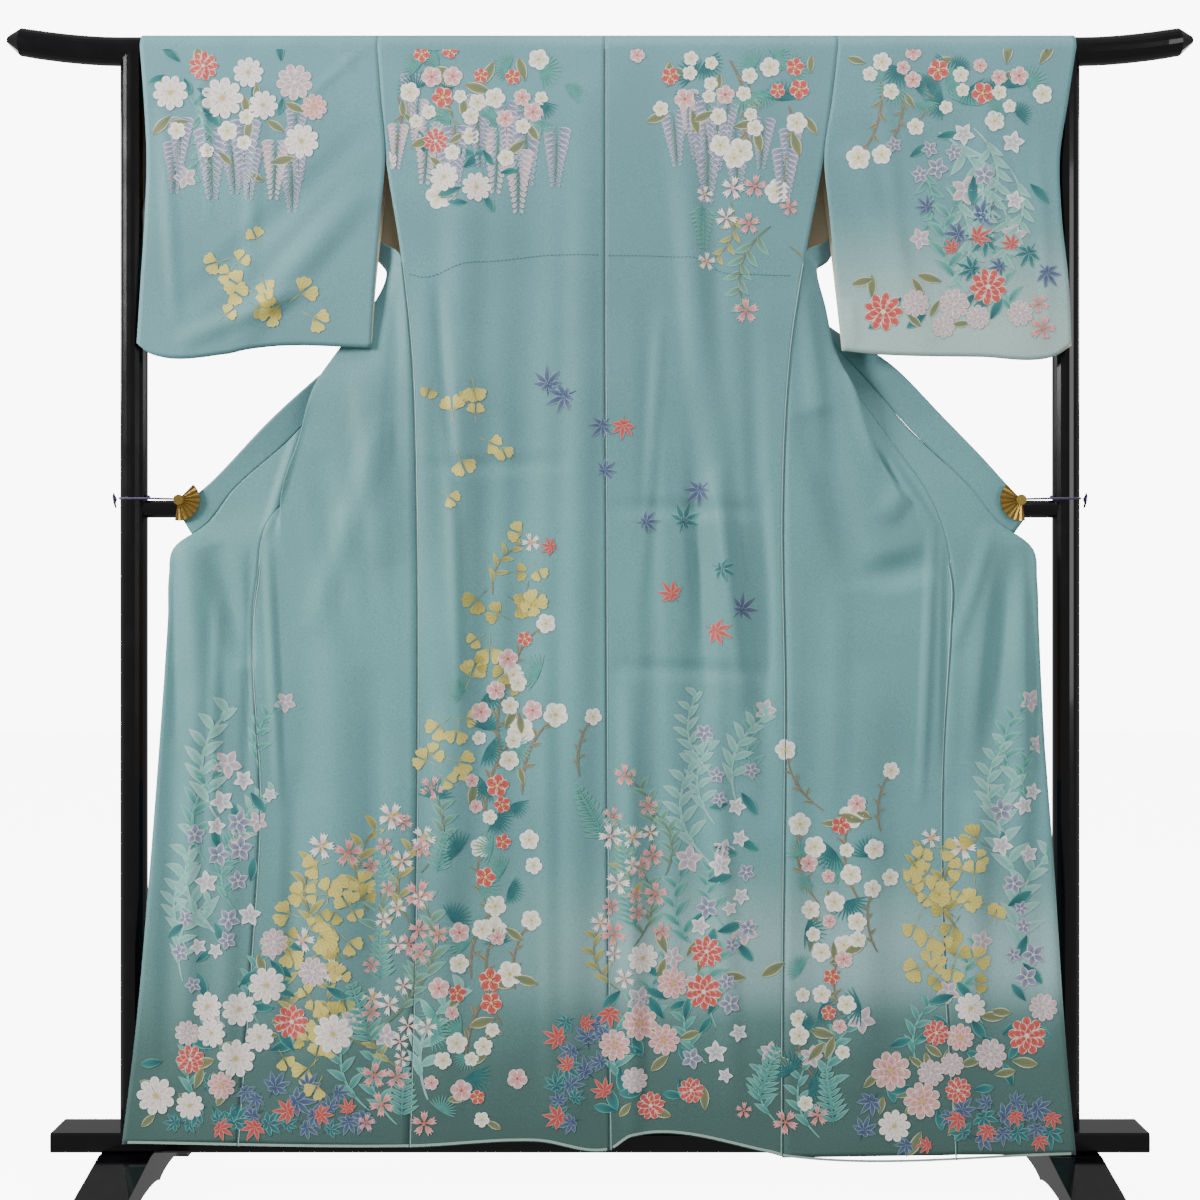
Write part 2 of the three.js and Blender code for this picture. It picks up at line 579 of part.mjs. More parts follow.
// A sleeve is a bag that straddles the rod: where its inner and outer edges run, and how far forward the
// far layer hangs at each of them.
const sleeve = {
  left: [
    { height: 1200, inner: -325, outer: -657, farInner: -20, farOuter: -21.8 },
    { height: 1300, inner: -319, outer: -651, farInner: -12, farOuter: -20 },
    { height: 1400, inner: -311, outer: -645, farInner: 4, farOuter: -10 },
    { height: 1480, inner: -305, outer: -643, farInner: 20, farOuter: 2 },
    { height: 1560, inner: -311, outer: -647, farInner: 21, farOuter: 18 },
    { height: 1637, inner: -316, outer: -653, farInner: 21.7, farOuter: 21.7 },
  ],
  right: [
    { height: 1200, inner: 344, outer: 668, farInner: -20, farOuter: -21.8 },
    { height: 1300, inner: 334, outer: 664, farInner: -12, farOuter: -20 },
    { height: 1400, inner: 325, outer: 654, farInner: 4, farOuter: -10 },
    { height: 1480, inner: 318, outer: 652, farInner: 20, farOuter: 2 },
    { height: 1560, inner: 329, outer: 664, farInner: 21, farOuter: 18 },
    { height: 1637, inner: 338, outer: 676, farInner: 21.7, farOuter: 21.7 },
  ],
};
const sleeveHem = {
  left: [
    { across: 0, height: 1210 },
    { across: 0.38, height: 1213 },
    { across: 0.54, height: 1207 },
    { across: 0.62, height: 1201 },
    { across: 0.94, height: 1201 },
    { across: 1, height: 1216 },
  ],
  right: [
    { across: 0, height: 1206 },
    { across: 0.14, height: 1201 },
    { across: 0.6, height: 1197 },
    { across: 0.92, height: 1197 },
    { across: 1, height: 1212 },
  ],
};
const nearLayer = { atRod: -21.7, atHem: -27 };
const farOuterLimit = 644;

function sleevePoint(side, layer, across, down) {
  const z = mix(rod.height, readTable(sleeveHem[side], "across", "height", across), down);
  const read = (column) => readTable(sleeve[side], "height", column, z);
  const x = mix(read("inner"), read("outer"), across);
  if (layer === "near") return folded([x, mix(nearLayer.atRod, nearLayer.atHem, down), z]);
  const y = mix(read("farInner"), read("farOuter"), Math.sqrt(across));
  const limit = mix(Math.abs(read("outer")), farOuterLimit, smooth(clamp(down * 9, 0, 1)));
  return [Math.sign(x) * Math.min(Math.abs(x), limit), y, z];
}

function sleevePiece(side, { thickness, seam }) {
  const across = [0, 0.16, 0.34, 0.52, 0.7, 0.86, 1];
  const rows = [];
  for (const down of steps(1, 0, 9)) rows.push(across.map((share) => sleevePoint(side, "near", share, down)));
  for (const angle of [-60, -30, 0, 30, 60]) {
    rows.push(rows[9].map(([x]) => overRod(x, (angle * Math.PI) / 180)));
  }
  for (const down of steps(0, 1, 9)) rows.push(across.map((share) => sleevePoint(side, "far", share, down)));
  return gridSheet(drawIn(rows, seam, 0), thickness, { closed: true, flip: side === "right" });
}

function addCloth() {
  const cutters = [];
  const add = (name, build, colour) => {
    addMesh(name, cutClear(build(made), cutters), colour);
    cutters.push(build(made), build(cutter));
  };
  for (const side of ["left", "right"]) {
    add(`body_${side}`, (wall) => bodyPanel(side, wall), colours.silk);
    add(`overlap_${side}`, (wall) => overlapPanel(side, wall), colours.silkLower);
    add(`sleeve_${side}`, (wall) => sleevePiece(side, wall), colours.silk);
  }
  const whole = [0, 43, 86, 126, 166, 210, 255, 300, 330, 366, 416, 450, 486, 526, 566, 606, 646, 676, 700, 718];
  add("collar", (wall) => collarPiece(whole, { ...wall, seam: wall.seam + 0.3 }, 0), colours.silk);
  const covered = whole.filter((drop) => drop < 360);
  add("collar_cover", (wall) => collarPiece(covered, wall, cloth.thickness + joinGap), colours.silkLower);
}

// ---- The clips that hold the fronts open ----

function fan(x, sign) {
  const folds = 2 * clip.pleats;
  const rows = steps(clip.from, clip.to, folds).map((degrees, i) => {
    const angle = (degrees * Math.PI) / 180;
    const y = clip.front + (i % 2 ? 1.1 : 0);
    return [6, clip.reach].map((r) => [x + sign * r * Math.cos(angle), y, clip.height + r * Math.sin(angle)]);
  });
  const blades = solidOf(gridSheet(rows, 1.6, { flip: sign < 0 }));
  const boss = new THREE.CylinderGeometry(7.5, 7.5, 3.4, 14);
  boss.translate(x, clip.front + 0.6, clip.height);
  return geometryOf(blades.add(solidOf(boss)));
}

function jaw(x, sign) {
  const rows = steps(clip.from + 15, clip.to - 15, 6).map((degrees) => {
    const angle = (degrees * Math.PI) / 180;
    const point = (r) => [x + sign * r * Math.cos(angle), clip.behind, clip.height + r * Math.sin(angle)];
    return [2, clip.reach - 6].map(point);
  });
  return gridSheet(rows, 1.4, { flip: sign < 0 });
}

// The cord leaves the clip, goes once round the post and ends in a knot beside itself.
function cordPath(postX, sign) {
  const turn = post.radius + clipCord.radius + 0.6;
  const around = steps(-90, 200, 18).map((degrees, i) => {
    const angle = (degrees * Math.PI) / 180;
    return [postX - sign * turn * Math.cos(angle), turn * Math.sin(angle), clipCord.height + (4.5 * i) / 18];
  });
  const start = postX + sign * 62;
  return [[start, clip.front + 1, clipCord.height - 1], [postX + sign * 30, -turn - 1, clipCord.height], ...around];
}

function knotPath(postX, sign) {
  const x = postX - sign * (post.radius + 8.4);
  return [
    [x, -6, clipCord.height + 8],
    [x - sign, -2, clipCord.height + 5],
    [x, 0, clipCord.height + 1],
    [x - sign, 2, clipCord.height - 5],
    [x, 5, clipCord.height - 12],
  ];
}

function addClip(side, sign) {
  const x = -sign * clip.x;
  const postX = -sign * post.x;
  addMesh(`fan_${side}`, fan(x, sign), colours.gilt);
  addMesh(`jaw_${side}`, jaw(x, sign), colours.gilt);
  const cord = sweep(cordPath(postX, sign), () => clipCord.radius, 8);
  addMesh(`cord_${side}`, cutClear(cord, [fan(x, sign)]), colours.cord);
  const knot = sweep(knotPath(postX, sign), (t) => mix(3.4, 1.2, Math.abs(2 * t - 1) ** 0.7), 8);
  addMesh(`knot_${side}`, knot, colours.cord);
}

addCloth();
addClip("left", 1);
addClip("right", -1);

export default root;
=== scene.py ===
# A lined silk crepe kimono, spread open on a black lacquered stand and seen from the wearer's back.
# Tables are in millimetres, as cut and hung; meshes are made in metres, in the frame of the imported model.
import math

import bpy
import numpy as np
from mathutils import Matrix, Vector


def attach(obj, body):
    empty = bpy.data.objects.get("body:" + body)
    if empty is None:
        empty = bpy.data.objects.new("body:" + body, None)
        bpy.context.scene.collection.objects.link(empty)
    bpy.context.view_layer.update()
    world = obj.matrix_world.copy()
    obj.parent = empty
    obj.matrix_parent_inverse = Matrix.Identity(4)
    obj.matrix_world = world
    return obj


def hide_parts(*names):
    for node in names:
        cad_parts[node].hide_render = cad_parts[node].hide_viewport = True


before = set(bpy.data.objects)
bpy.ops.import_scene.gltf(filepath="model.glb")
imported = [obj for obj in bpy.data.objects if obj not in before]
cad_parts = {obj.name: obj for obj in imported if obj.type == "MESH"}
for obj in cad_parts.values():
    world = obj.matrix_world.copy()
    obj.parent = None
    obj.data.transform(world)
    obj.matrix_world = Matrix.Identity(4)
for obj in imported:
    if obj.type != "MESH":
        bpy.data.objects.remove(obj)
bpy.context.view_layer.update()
mm = 0.001


def table(names, rows):
    return {name: np.array([row[i] for row in rows], float) for i, name in enumerate(names.split())}


def read(rows, key, column, at):
    # The value of a column at a place between rows, on a smooth curve through them.
    keys, values = rows[key], rows[column]
    at = np.clip(np.asarray(at, float), keys[0], keys[-1])
    i = np.clip(np.searchsorted(keys, at, side="left") - 1, 0, len(keys) - 2)
    slopes = np.diff(values, axis=0) / (np.diff(keys)[:, None] if values.ndim > 1 else np.diff(keys))
    ends = np.concatenate([slopes[:1], (slopes[:-1] + slopes[1:]) / 2, slopes[-1:]])
    gap = keys[i + 1] - keys[i]
    t = (at - keys[i]) / gap
    if values.ndim > 1:
        t, gap = t[..., None], gap[..., None]
    return (values[i] * (2 * t**3 - 3 * t**2 + 1) + ends[i] * gap * (t**3 - 2 * t**2 + t)
            + values[i + 1] * (3 * t**2 - 2 * t**3) + ends[i + 1] * gap * (t**3 - t**2))


def mix(a, b, t):
    return a + (b - a) * t


def smooth(t):
    t = np.clip(t, 0, 1)
    return t * t * (3 - 2 * t)


rod = {"radius": 20, "height": 1637}
cloth = {"overRod": 21.7, "thickness": 1.1, "seam": 0.02}

backColumns = "height centre side forward"
back = {
    "left": table(backColumns, [
        (82, 14, -268, -45), (350, 11, -261, -40), (700, 9, -258, -34), (1000, 8, -260, -30),
        (1200, 7, -267, -27), (1345, 7, -283, -24), (1480, 7, -304, -22.5), (1637, 7, -316, -21.7)]),
    "right": table(backColumns, [
        (82, 14, 256, -45), (350, 11, 258, -40), (700, 9, 262, -34), (1000, 8, 259, -30),
        (1200, 7, 270, -27), (1345, 7, 292, -24), (1480, 7, 317, -22.5), (1637, 7, 338, -21.7)]),
}
hem = table("x height", [(-680, 87), (-268, 82), (-90, 90), (13, 78), (45, 97), (240, 74), (262, 68), (680, 71)])

# Each row is a weft line of a swung-out front: side seam, fold, tuck behind it, overlap seam.
frontColumns = "drop side fold tuck seam"
front = {
    "left": table(frontColumns, [
        (0, (-316, 21.7, 1637), (-262, 21.7, 1637), (-180, 21.7, 1637), (-95, 21.7, 1637)),
        (86, (-311, 21, 1556), (-280, 24, 1550), (-212, 28, 1542), (-128, 30, 1552)),
        (166, (-312, 20, 1480), (-322, 24, 1462), (-250, 34, 1432), (-172, 46, 1464)),
        (220, (-324, 16, 1420), (-332, 20, 1392), (-262, 40, 1360), (-202, 48, 1412)),
        (262, (-320, 6, 1372), (-326, 12, 1348), (-264, 40, 1318), (-228, 48, 1370)),
        (300, (-284, -22, 1343), (-306, -8, 1318), (-262, 34, 1280), (-254, 46, 1327)),
        (366, (-276, -24, 1271), (-334, -8, 1262), (-276, 18, 1222), (-291, 38, 1266)),
        (416, (-271, -26, 1221), (-372, -12, 1215), (-306, 6, 1184), (-318, 26, 1220)),
        (486, (-267, -27, 1151), (-411, -19, 1155), (-352, -6, 1142), (-362, 8, 1153)),
        (566, (-264, -29, 1071), (-430, -25, 1080), (-392, -16, 1074), (-402, -7, 1078)),
        (646, (-260, -30, 991), (-452, -30, 1004), (-430, -24, 1002), (-440, -18, 1003)),
        (706, (-259, -31, 931), (-450, -32, 948), (-463, -29, 951), (-475, -27, 953)),
        (760, (-258, -32, 877), (-440, -32, 888), (-463, -32, 890), (-484, -32, 892)),
        (830, (-258, -33, 807), (-442, -33, 818), (-467, -33, 819), (-492, -33, 820)),
        (1070, (-260, -36, 567), (-432, -36, 575), (-456, -36, 576), (-480, -36, 577)),
        (1300, (-261, -41, 337), (-442, -41, 342), (-467, -41, 343), (-492, -41, 343)),
        (1555, (-268, -45, 82), (-458, -45, 86), (-484, -45, 87), (-510, -45, 88))]),
    "right": table(frontColumns, [
        (0, (338, 21.7, 1637), (268, 21.7, 1637), (182, 21.7, 1637), (95, 21.7, 1637)),
        (86, (329, 21, 1556), (288, 24, 1550), (214, 28, 1542), (132, 30, 1552)),
        (166, (318, 20, 1480), (334, 24, 1462), (254, 34, 1432), (176, 46, 1464)),
        (220, (338, 15, 1410), (342, 20, 1380), (264, 40, 1360), (208, 48, 1412)),
        (262, (326, 4, 1368), (330, 12, 1340), (264, 40, 1318), (233, 48, 1370)),
        (300, (291, -22, 1346), (311, -8, 1326), (266, 34, 1280), (258, 46, 1330)),
        (366, (276, -24, 1271), (325, -8, 1266), (280, 18, 1222), (296, 38, 1268)),
        (416, (270, -26, 1221), (336, -12, 1212), (300, 6, 1184), (324, 26, 1222)),
        (486, (268, -27, 1151), (366, -19, 1148), (334, -6, 1136), (362, 8, 1158)),
        (566, (266, -29, 1071), (390, -26, 1070), (374, -16, 1066), (410, -7, 1086)),
        (646, (259, -30, 991), (424, -31, 998), (432, -24, 1000), (462, -19, 1012)),
        (706, (258, -31, 931), (446, -32, 944), (466, -30, 948), (486, -28, 954)),
        (760, (259, -32, 877), (446, -32, 884), (470, -32, 886), (498, -32, 888)),
        (830, (260, -33, 807), (446, -33, 812), (470, -33, 813), (496, -33, 814)),
        (1070, (261, -36, 567), (440, -36, 569), (461, -36, 570), (483, -36, 570)),
        (1300, (258, -41, 337), (442, -41, 338), (464, -41, 338), (486, -41, 338)),
        (1555, (256, -45, 68), (450, -45, 71), (475, -45, 71), (501, -45, 72))]),
}
overlapEdge = {
    "left": table("drop edge", [
        (166, (-176, 47, 1461)), (300, (-264, 48, 1318)), (366, (-310, 38, 1250)), (486, (-386, 7, 1146)),
        (566, (-444, -6, 1080)), (646, (-520, -17, 1010)), (700, (-558, -20, 960)), (740, (-603, -24, 926)),
        (778, (-610, -28, 888)), (840, (-611, -32, 826)), (985, (-620, -35, 683)), (1172, (-633, -38, 496)),
        (1427, (-654, -43, 241)), (1555, (-672, -45, 87))]),
    "right": table("drop edge", [
        (166, (180, 47, 1461)), (300, (268, 48, 1320)), (366, (316, 38, 1252)), (486, (396, 7, 1152)),
        (566, (452, -6, 1086)), (646, (526, -17, 1012)), (700, (566, -20, 962)), (740, (612, -24, 926)),
        (778, (618, -28, 880)), (840, (620, -32, 820)), (985, (626, -35, 680)), (1172, (638, -38, 490)),
        (1427, (656, -43, 220)), (1555, (669, -45, 72))]),
}
collarEdge = {
    "left": table("drop edge", [
        (0, (-64, 34, 1588)), (86, (-92, 50, 1525)), (166, (-142, 78, 1436)), (300, (-272, 90, 1306)),
        (366, (-338, 60, 1242)), (486, (-411, 0, 1166)), (566, (-473, -11, 1106)), (646, (-548, -19, 1024)),
        (690, (-588, -21, 986)), (718, (-592, -22, 966))]),
    "right": table("drop edge", [
        (0, (78, 34, 1588)), (86, (98, 50, 1525)), (166, (146, 78, 1436)), (300, (276, 90, 1308)),
        (366, (344, 60, 1248)), (486, (421, 0, 1186)), (566, (490, -11, 1112)), (646, (560, -19, 1036)),
        (690, (597, -21, 990)), (718, (602, -22, 966))]),
}
sleeveColumns = "height inner outer farInner farOuter"
sleeve = {
    "left": table(sleeveColumns, [
        (1200, -325, -657, -20, -21.8), (1300, -319, -651, -12, -20), (1400, -311, -645, 4, -10),
        (1480, -305, -643, 20, 2), (1560, -311, -647, 21, 18), (1637, -316, -653, 21.7, 21.7)]),
    "right": table(sleeveColumns, [
        (1200, 344, 668, -20, -21.8), (1300, 334, 664, -12, -20), (1400, 325, 654, 4, -10),
        (1480, 318, 652, 20, 2), (1560, 329, 664, 21, 18), (1637, 338, 676, 21.7, 21.7)]),
}
sleeveHem = {
    "left": table("across height", [(0, 1210), (0.38, 1213), (0.54, 1207), (0.62, 1201), (0.94, 1201), (1, 1216)]),
    "right": table("across height", [(0, 1206), (0.14, 1201), (0.6, 1197), (0.92, 1197), (1, 1212)]),
}
# How far forward the sleeve's near layer is, and for its far layer its outer limit and the heights between
# which it takes up the folds.
nearLayer = {"atRod": -21.7, "atHem": -27}
farLayer = {"outerLimit": 644, "foldsFrom": 1420, "foldsOver": 160}
armholeEnd = 300
# Where the swung-out front has come round level with the back (drop, and over what stretch), and where the
# collar leaves the front panel for the overlap.
turns = {"levelFrom": 700, "levelOver": 60, "collarLeaves": 170}

# Soft folds, each along a line: ridges stand forward, valleys go back, and both fade out at their ends.
foldColumns = "fromX fromZ toX toZ halfWidth forward"
folds = table(foldColumns, [
    # the back
    (-190, 1600, -225, 120, 40, 9), (-95, 1500, -130, 300, 42, -7), (-20, 1600, -40, 100, 34, 7),
    (112, 1560, 200, 600, 34, 12), (160, 1450, 130, 250, 36, -8), (40, 760, 48, 90, 22, 10),
    (-248, 1330, -238, 700, 24, 5), (-150, 1180, -168, 420, 26, -5), (66, 1300, 84, 260, 24, -5),
    (214, 1300, 236, 520, 22, -6), (150, 900, 190, 130, 26, 6), (-75, 820, -70, 110, 20, 4),
    (160, 1040, 206, 700, 20, 8), (124, 1030, 156, 690, 16, -5), (232, 1020, 240, 720, 14, -5),
    (10, 984, 236, 978, 20, -3), (10, 756, 240, 750, 20, -3), (-262, 1040, -40, 1046, 20, -2.5),
    (-232, 1300, -200, 960, 13, -5), (-210, 1080, -196, 640, 12, 4), (86, 1260, 60, 860, 13, 4),
    # the right front: a long sag from the armhole, and the pull of the clip
    (300, 1120, 372, 870, 44, -16), (372, 880, 470, 905, 34, -10), (292, 1300, 318, 1010, 22, 7),
    (582, 930, 532, 560, 28, -11), (600, 900, 590, 420, 24, 9), (545, 900, 520, 200, 30, 8),
    (380, 760, 370, 150, 46, 9), (556, 960, 500, 780, 16, 5), (606, 960, 612, 600, 12, -5),
    (430, 1010, 400, 960, 26, 6), (300, 900, 300, 240, 26, -5), (632, 640, 640, 200, 16, 5),
    (383, 1092, 478, 946, 12, 6), (420, 1120, 560, 1000, 12, -4), (350, 1180, 392, 1030, 11, 5),
    (470, 960, 452, 560, 12, 5), (492, 930, 486, 600, 10, -5), (340, 900, 330, 520, 15, 5),
    # the left front
    (-582, 950, -560, 640, 30, 9), (-548, 930, -500, 760, 28, -10), (-600, 760, -610, 180, 26, -7),
    (-370, 980, -370, 160, 50, 9), (-572, 720, -580, 240, 18, 5), (-606, 950, -600, 640, 12, -5),
    (-330, 1190, -300, 900, 30, 7), (-290, 1290, -290, 1000, 14, -5), (-400, 1060, -350, 760, 28, -6),
    (-520, 560, -530, 130, 24, 5), (-430, 620, -440, 150, 22, -5), (-318, 760, -310, 130, 22, -5),
    (-417, 1140, -474, 938, 12, 6), (-350, 1180, -300, 820, 15, 5), (-470, 940, -452, 560, 12, 5),
    (-494, 930, -500, 560, 10, -5), (-540, 860, -548, 420, 12, 5), (-300, 1120, -410, 800, 22, 5),
    # the sleeves: drag lines from the armhole towards the outer corner, and creases left by folding
    (-330, 1440, -520, 1215, 34, 7), (-316, 1530, -600, 1260, 28, -3), (-400, 1300, -600, 1215, 22, 5),
    (-566, 1652, -553, 1380, 7, 2), (-330, 1640, -420, 1560, 10, 2), (-345, 1600, -380, 1650, 8, 2),
    (350, 1500, 470, 1210, 34, 6), (420, 1600, 600, 1230, 30, -3), (470, 1400, 640, 1215, 24, 4),
    (-571, 1600, -552, 1500, 9, 2.5), (-480, 1590, -500, 1300, 18, 3), (-620, 1560, -600, 1240, 14, 3),
    (352, 1280, 362, 1215, 12, 3), (400, 1590, 430, 1290, 18, 3), (540, 1560, 560, 1300, 16, 3),
    (560, 1600, 600, 1400, 14, -2), (620, 1500, 636, 1230, 14, 3),
])


def foldDepth(x, z):
    # How far forward the folds bring the cloth at each place of the front view.
    total = np.zeros(np.broadcast(x, z).shape)
    for x0, z0, x1, z1, halfWidth, forward in zip(*(folds[name] for name in foldColumns.split())):
        dx, dz = x1 - x0, z1 - z0
        length = math.hypot(dx, dz)
        along = ((x - x0) * dx + (z - z0) * dz) / length**2
        aside = np.abs((x - x0) * dz - (z - z0) * dx) / length / halfWidth
        taper = np.clip(4 * along * (1 - along), 0, 1) ** 0.7
        total += np.where(aside < 1, forward * np.cos(aside * math.pi / 2) ** 2, 0) * taper
    return total


def folded(points):
    out = points.copy()
    out[..., 1] -= foldDepth(points[..., 0], points[..., 2])
    return out


def xyz(x, y, z):
    return np.stack(np.broadcast_arrays(x, y, z), axis=-1).astype(float)


def overRod(x, degrees):
    angle = math.radians(degrees)
    return xyz(x, cloth["overRod"] * math.sin(angle), rod["height"] + cloth["overRod"] * math.cos(angle))


def backPoint(side, across, down):
    guess = mix(rod["height"], 80, down)
    rows = back[side]
    x = mix(read(rows, "height", "centre", guess), read(rows, "height", "side", guess), across)
    z = mix(rod["height"], read(hem, "x", "height", x), down)
    return folded(xyz(x, read(rows, "height", "forward", z), z))


def roundedLine(guides, rounding, at):
    # A line of straight stretches through the guides, its corners rounded by a share of each stretch.
    out = np.zeros(np.broadcast_shapes(at.shape, guides[0].shape[:-1]) + (3,))
    at = np.broadcast_to(at, out.shape[:-1])
    for i in range(len(guides) - 1):
        inside = (at >= i) & (at <= i + 1)
        out = np.where(inside[..., None], mix(guides[i], guides[i + 1], (at - i)[..., None]), out)
    for i, share in rounding.items():
        before = mix(guides[i], guides[i - 1], share)
        after = mix(guides[i], guides[i + 1], share)
        t = ((at - i + share) / (2 * share))[..., None]
        curve = mix(mix(before, guides[i], t), mix(guides[i], after, t), t)
        out = np.where((np.abs(at - i) < share)[..., None], curve, out)
    return out


def hang(z):
    # How far forward the hanging cloth is at each height, before its folds.
    return read(back["left"], "height", "forward", z)


def levelled(points, drop):
    out = points.copy()
    out[..., 1] = mix(points[..., 1], hang(points[..., 2]), smooth((drop - turns["levelFrom"]) / turns["levelOver"]))
    return out


def frontPoint(side, at, drop):
    guides = [read(front[side], "drop", name, drop) for name in ("side", "fold", "tuck", "seam")]
    z = guides[0][..., 2]
    sewn = xyz(read(back[side], "height", "side", z), read(back[side], "height", "forward", z), z)
    guides[0] = np.where((drop >= armholeEnd)[..., None], sewn, guides[0])
    return folded(levelled(roundedLine(guides, {1: 0.1, 2: 0.4}, at), drop))


def overlapPoint(side, across, drop):
    inner = read(front[side], "drop", "seam", drop)
    outer = read(overlapEdge[side], "drop", "edge", drop)
    return folded(levelled(mix(inner, outer, across[..., None]), drop))


def collarPoint(side, across, drop):
    inner = np.where((drop < turns["collarLeaves"])[..., None], read(front[side], "drop", "seam", drop),
                     read(overlapEdge[side], "drop", "edge", drop))
    return mix(inner, read(collarEdge[side], "drop", "edge", drop), across[..., None])


def sleevePoint(side, layer, across, down):
    z = mix(rod["height"], read(sleeveHem[side], "across", "height", across), down)
    inner, outer, farInner, farOuter = (read(sleeve[side], "height", name, z) for name in sleeveColumns.split()[1:])
    x = mix(inner, outer, across)
    if layer == "near":
        return folded(xyz(x, mix(nearLayer["atRod"], nearLayer["atHem"], down), z))
    limit = mix(np.abs(outer), farLayer["outerLimit"], smooth(down * 9))
    forward = foldDepth(x, z) * smooth((farLayer["foldsFrom"] - z) / farLayer["foldsOver"])
    return xyz(np.sign(x) * np.minimum(np.abs(x), limit), mix(farInner, farOuter, np.sqrt(across)) - forward, z)


def gridFaces(rows, columns, keep=None, closed=False, flip=False):
    r, c = np.meshgrid(np.arange(rows if closed else rows - 1), np.arange(columns - 1), indexing="ij")
    below = (r + 1) % rows
    quads = np.stack([r * columns + c, r * columns + c + 1, below * columns + c + 1, below * columns + c], axis=-1)
    quads = quads[keep] if keep is not None else quads.reshape(-1, 4)
    return quads[:, ::-1] if flip else quads


def vertexNormals(points, quads):
    a, b, c, d = (points[quads[:, i]] for i in range(4))
    normal = np.cross(c - a, d - b)
    total = np.zeros_like(points)
    for i in range(4):
        np.add.at(total, quads[:, i], normal)
    return total / np.maximum(np.linalg.norm(total, axis=1, keepdims=True), 1e-9)


def shell(points, quads, thickness, shift=0.0):
    # Both faces of a cloth and the wall round its edges. Slot 0 is the outer face, slot 1 the lining.
    used, quads = np.unique(quads, return_inverse=True)
    points, quads = points[used], quads.reshape(-1, 4)
    normals = vertexNormals(points, quads)
    count = len(points)
    both = np.concatenate([points + normals * (shift + thickness / 2), points + normals * (shift - thickness / 2)])
    edges = np.concatenate([quads[:, [i, (i + 1) % 4]] for i in range(4)])
    code = edges[:, 0].astype(np.int64) * count + edges[:, 1]
    lone = edges[~np.isin(code, edges[:, 1].astype(np.int64) * count + edges[:, 0])]
    walls = np.stack([lone[:, 0], lone[:, 0] + count, lone[:, 1] + count, lone[:, 1]], axis=1)
    faces = np.concatenate([quads, quads[:, ::-1] + count, walls])
    slots = np.concatenate([np.zeros(len(quads), int), np.ones(len(quads), int), np.zeros(len(walls), int)])
    return both, faces, slots


def drawIn(grid, start, end):
    out = grid.copy()
    for edge, towards, distance in ((0, 1, start), (-1, -2, end)):
        step = grid[:, towards] - grid[:, edge]
        out[:, edge] += step / np.maximum(np.linalg.norm(step, axis=1, keepdims=True), 1e-9) * distance
    return out


def addPiece(name, parts, materials):
    # One object from (points in millimetres, quads, slots, colours) parts; a colour is per point or None.
    points, faces, slots, colours, offset = [], [], [], [], 0
    for part in parts:
        points.append(part[0] * mm)
        faces.append(part[1] + offset)
        slots.append(part[2])
        colours.append(part[3] if part[3] is not None else np.ones((len(part[0]), 3)))
        offset += len(part[0])
    points, faces, slots = np.concatenate(points), np.concatenate(faces), np.concatenate(slots)
    mesh = bpy.data.meshes.new(name)
    mesh.vertices.add(len(points))
    mesh.vertices.foreach_set("co", points.ravel())
    mesh.loops.add(faces.size)
    mesh.loops.foreach_set("vertex_index", faces.ravel().astype(np.int32))
    mesh.polygons.add(len(faces))
    mesh.polygons.foreach_set("loop_start", (np.arange(len(faces)) * 4).astype(np.int32))
    mesh.polygons.foreach_set("material_index", slots.astype(np.int32))
    mesh.polygons.foreach_set("use_smooth", np.ones(len(faces), bool))
    layer = mesh.color_attributes.new("paint", "FLOAT_COLOR", "POINT")
    rgba = np.concatenate([np.concatenate(colours), np.ones((len(points), 1))], axis=1)
    layer.data.foreach_set("color", rgba.ravel().astype(np.float32))
    mesh.update()
    mesh.validate()
    for material in materials:
        mesh.materials.append(material)
    piece = bpy.data.objects.new(name, mesh)
    bpy.context.collection.objects.link(piece)
    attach(piece, "root")
    return piece


def spread(*stretches):
    # Numbers from one stop to the next, each stretch given as (from, to, how many).
    parts = [np.linspace(a, b, count + 1)[:-1] for a, b, count in stretches]
    return np.concatenate(parts + [[stretches[-1][1]]])


neck = {"share": 0.3, "columns": 14}


def bodyGrid(side):
    across = spread((0, neck["share"], neck["columns"]), (neck["share"], 1, 36))
    at = spread((3, 2, 8), (2, 1.1, 9), (1.1, 0.9, 6), (0.9, 0, 13))
    down = spread((1, 0, 250))
    backRows = backPoint(side, across[None, :], down[:, None])
    top = backRows[-1, :, 0]
    over = np.stack([overRod(top, degrees) for degrees in range(-75, 91, 15)])
    drops = spread((8, 86, 10), (86, 366, 50), (366, 1555, 180))
    frontRows = np.zeros((len(drops), len(across), 3))
    frontRows[:, neck["columns"]:] = frontPoint(side, at[None, :], drops[:, None])
    rows = np.concatenate([backRows, over, frontRows])
    neckRow = len(backRows) + len(over) - 1
    whole, cut = rows[:neckRow + 1], rows[neckRow + 1:, neck["columns"]:]
    rows[:neckRow + 1] = drawIn(whole, cloth["seam"], cloth["seam"])
    rows[neckRow + 1:, neck["columns"]:] = drawIn(cut, cloth["seam"], cloth["seam"])
    r, c = np.meshgrid(np.arange(len(rows) - 1), np.arange(len(across) - 1), indexing="ij")
    return rows, (r < neckRow) | (c >= neck["columns"])


def sheetPart(grid, keep=None, closed=False, flip=False, shift=0.0):
    points, faces, slots = shell(grid.reshape(-1, 3), gridFaces(*grid.shape[:2], keep, closed, flip),
                                 cloth["thickness"], shift)
    return points, faces, slots, None


def overlapGrid(side):
    drops = spread((176, 366, 34), (366, 1555, 180))
    return drawIn(overlapPoint(side, spread((0, 1, 24))[None, :], drops[:, None]), cloth["seam"], cloth["seam"])


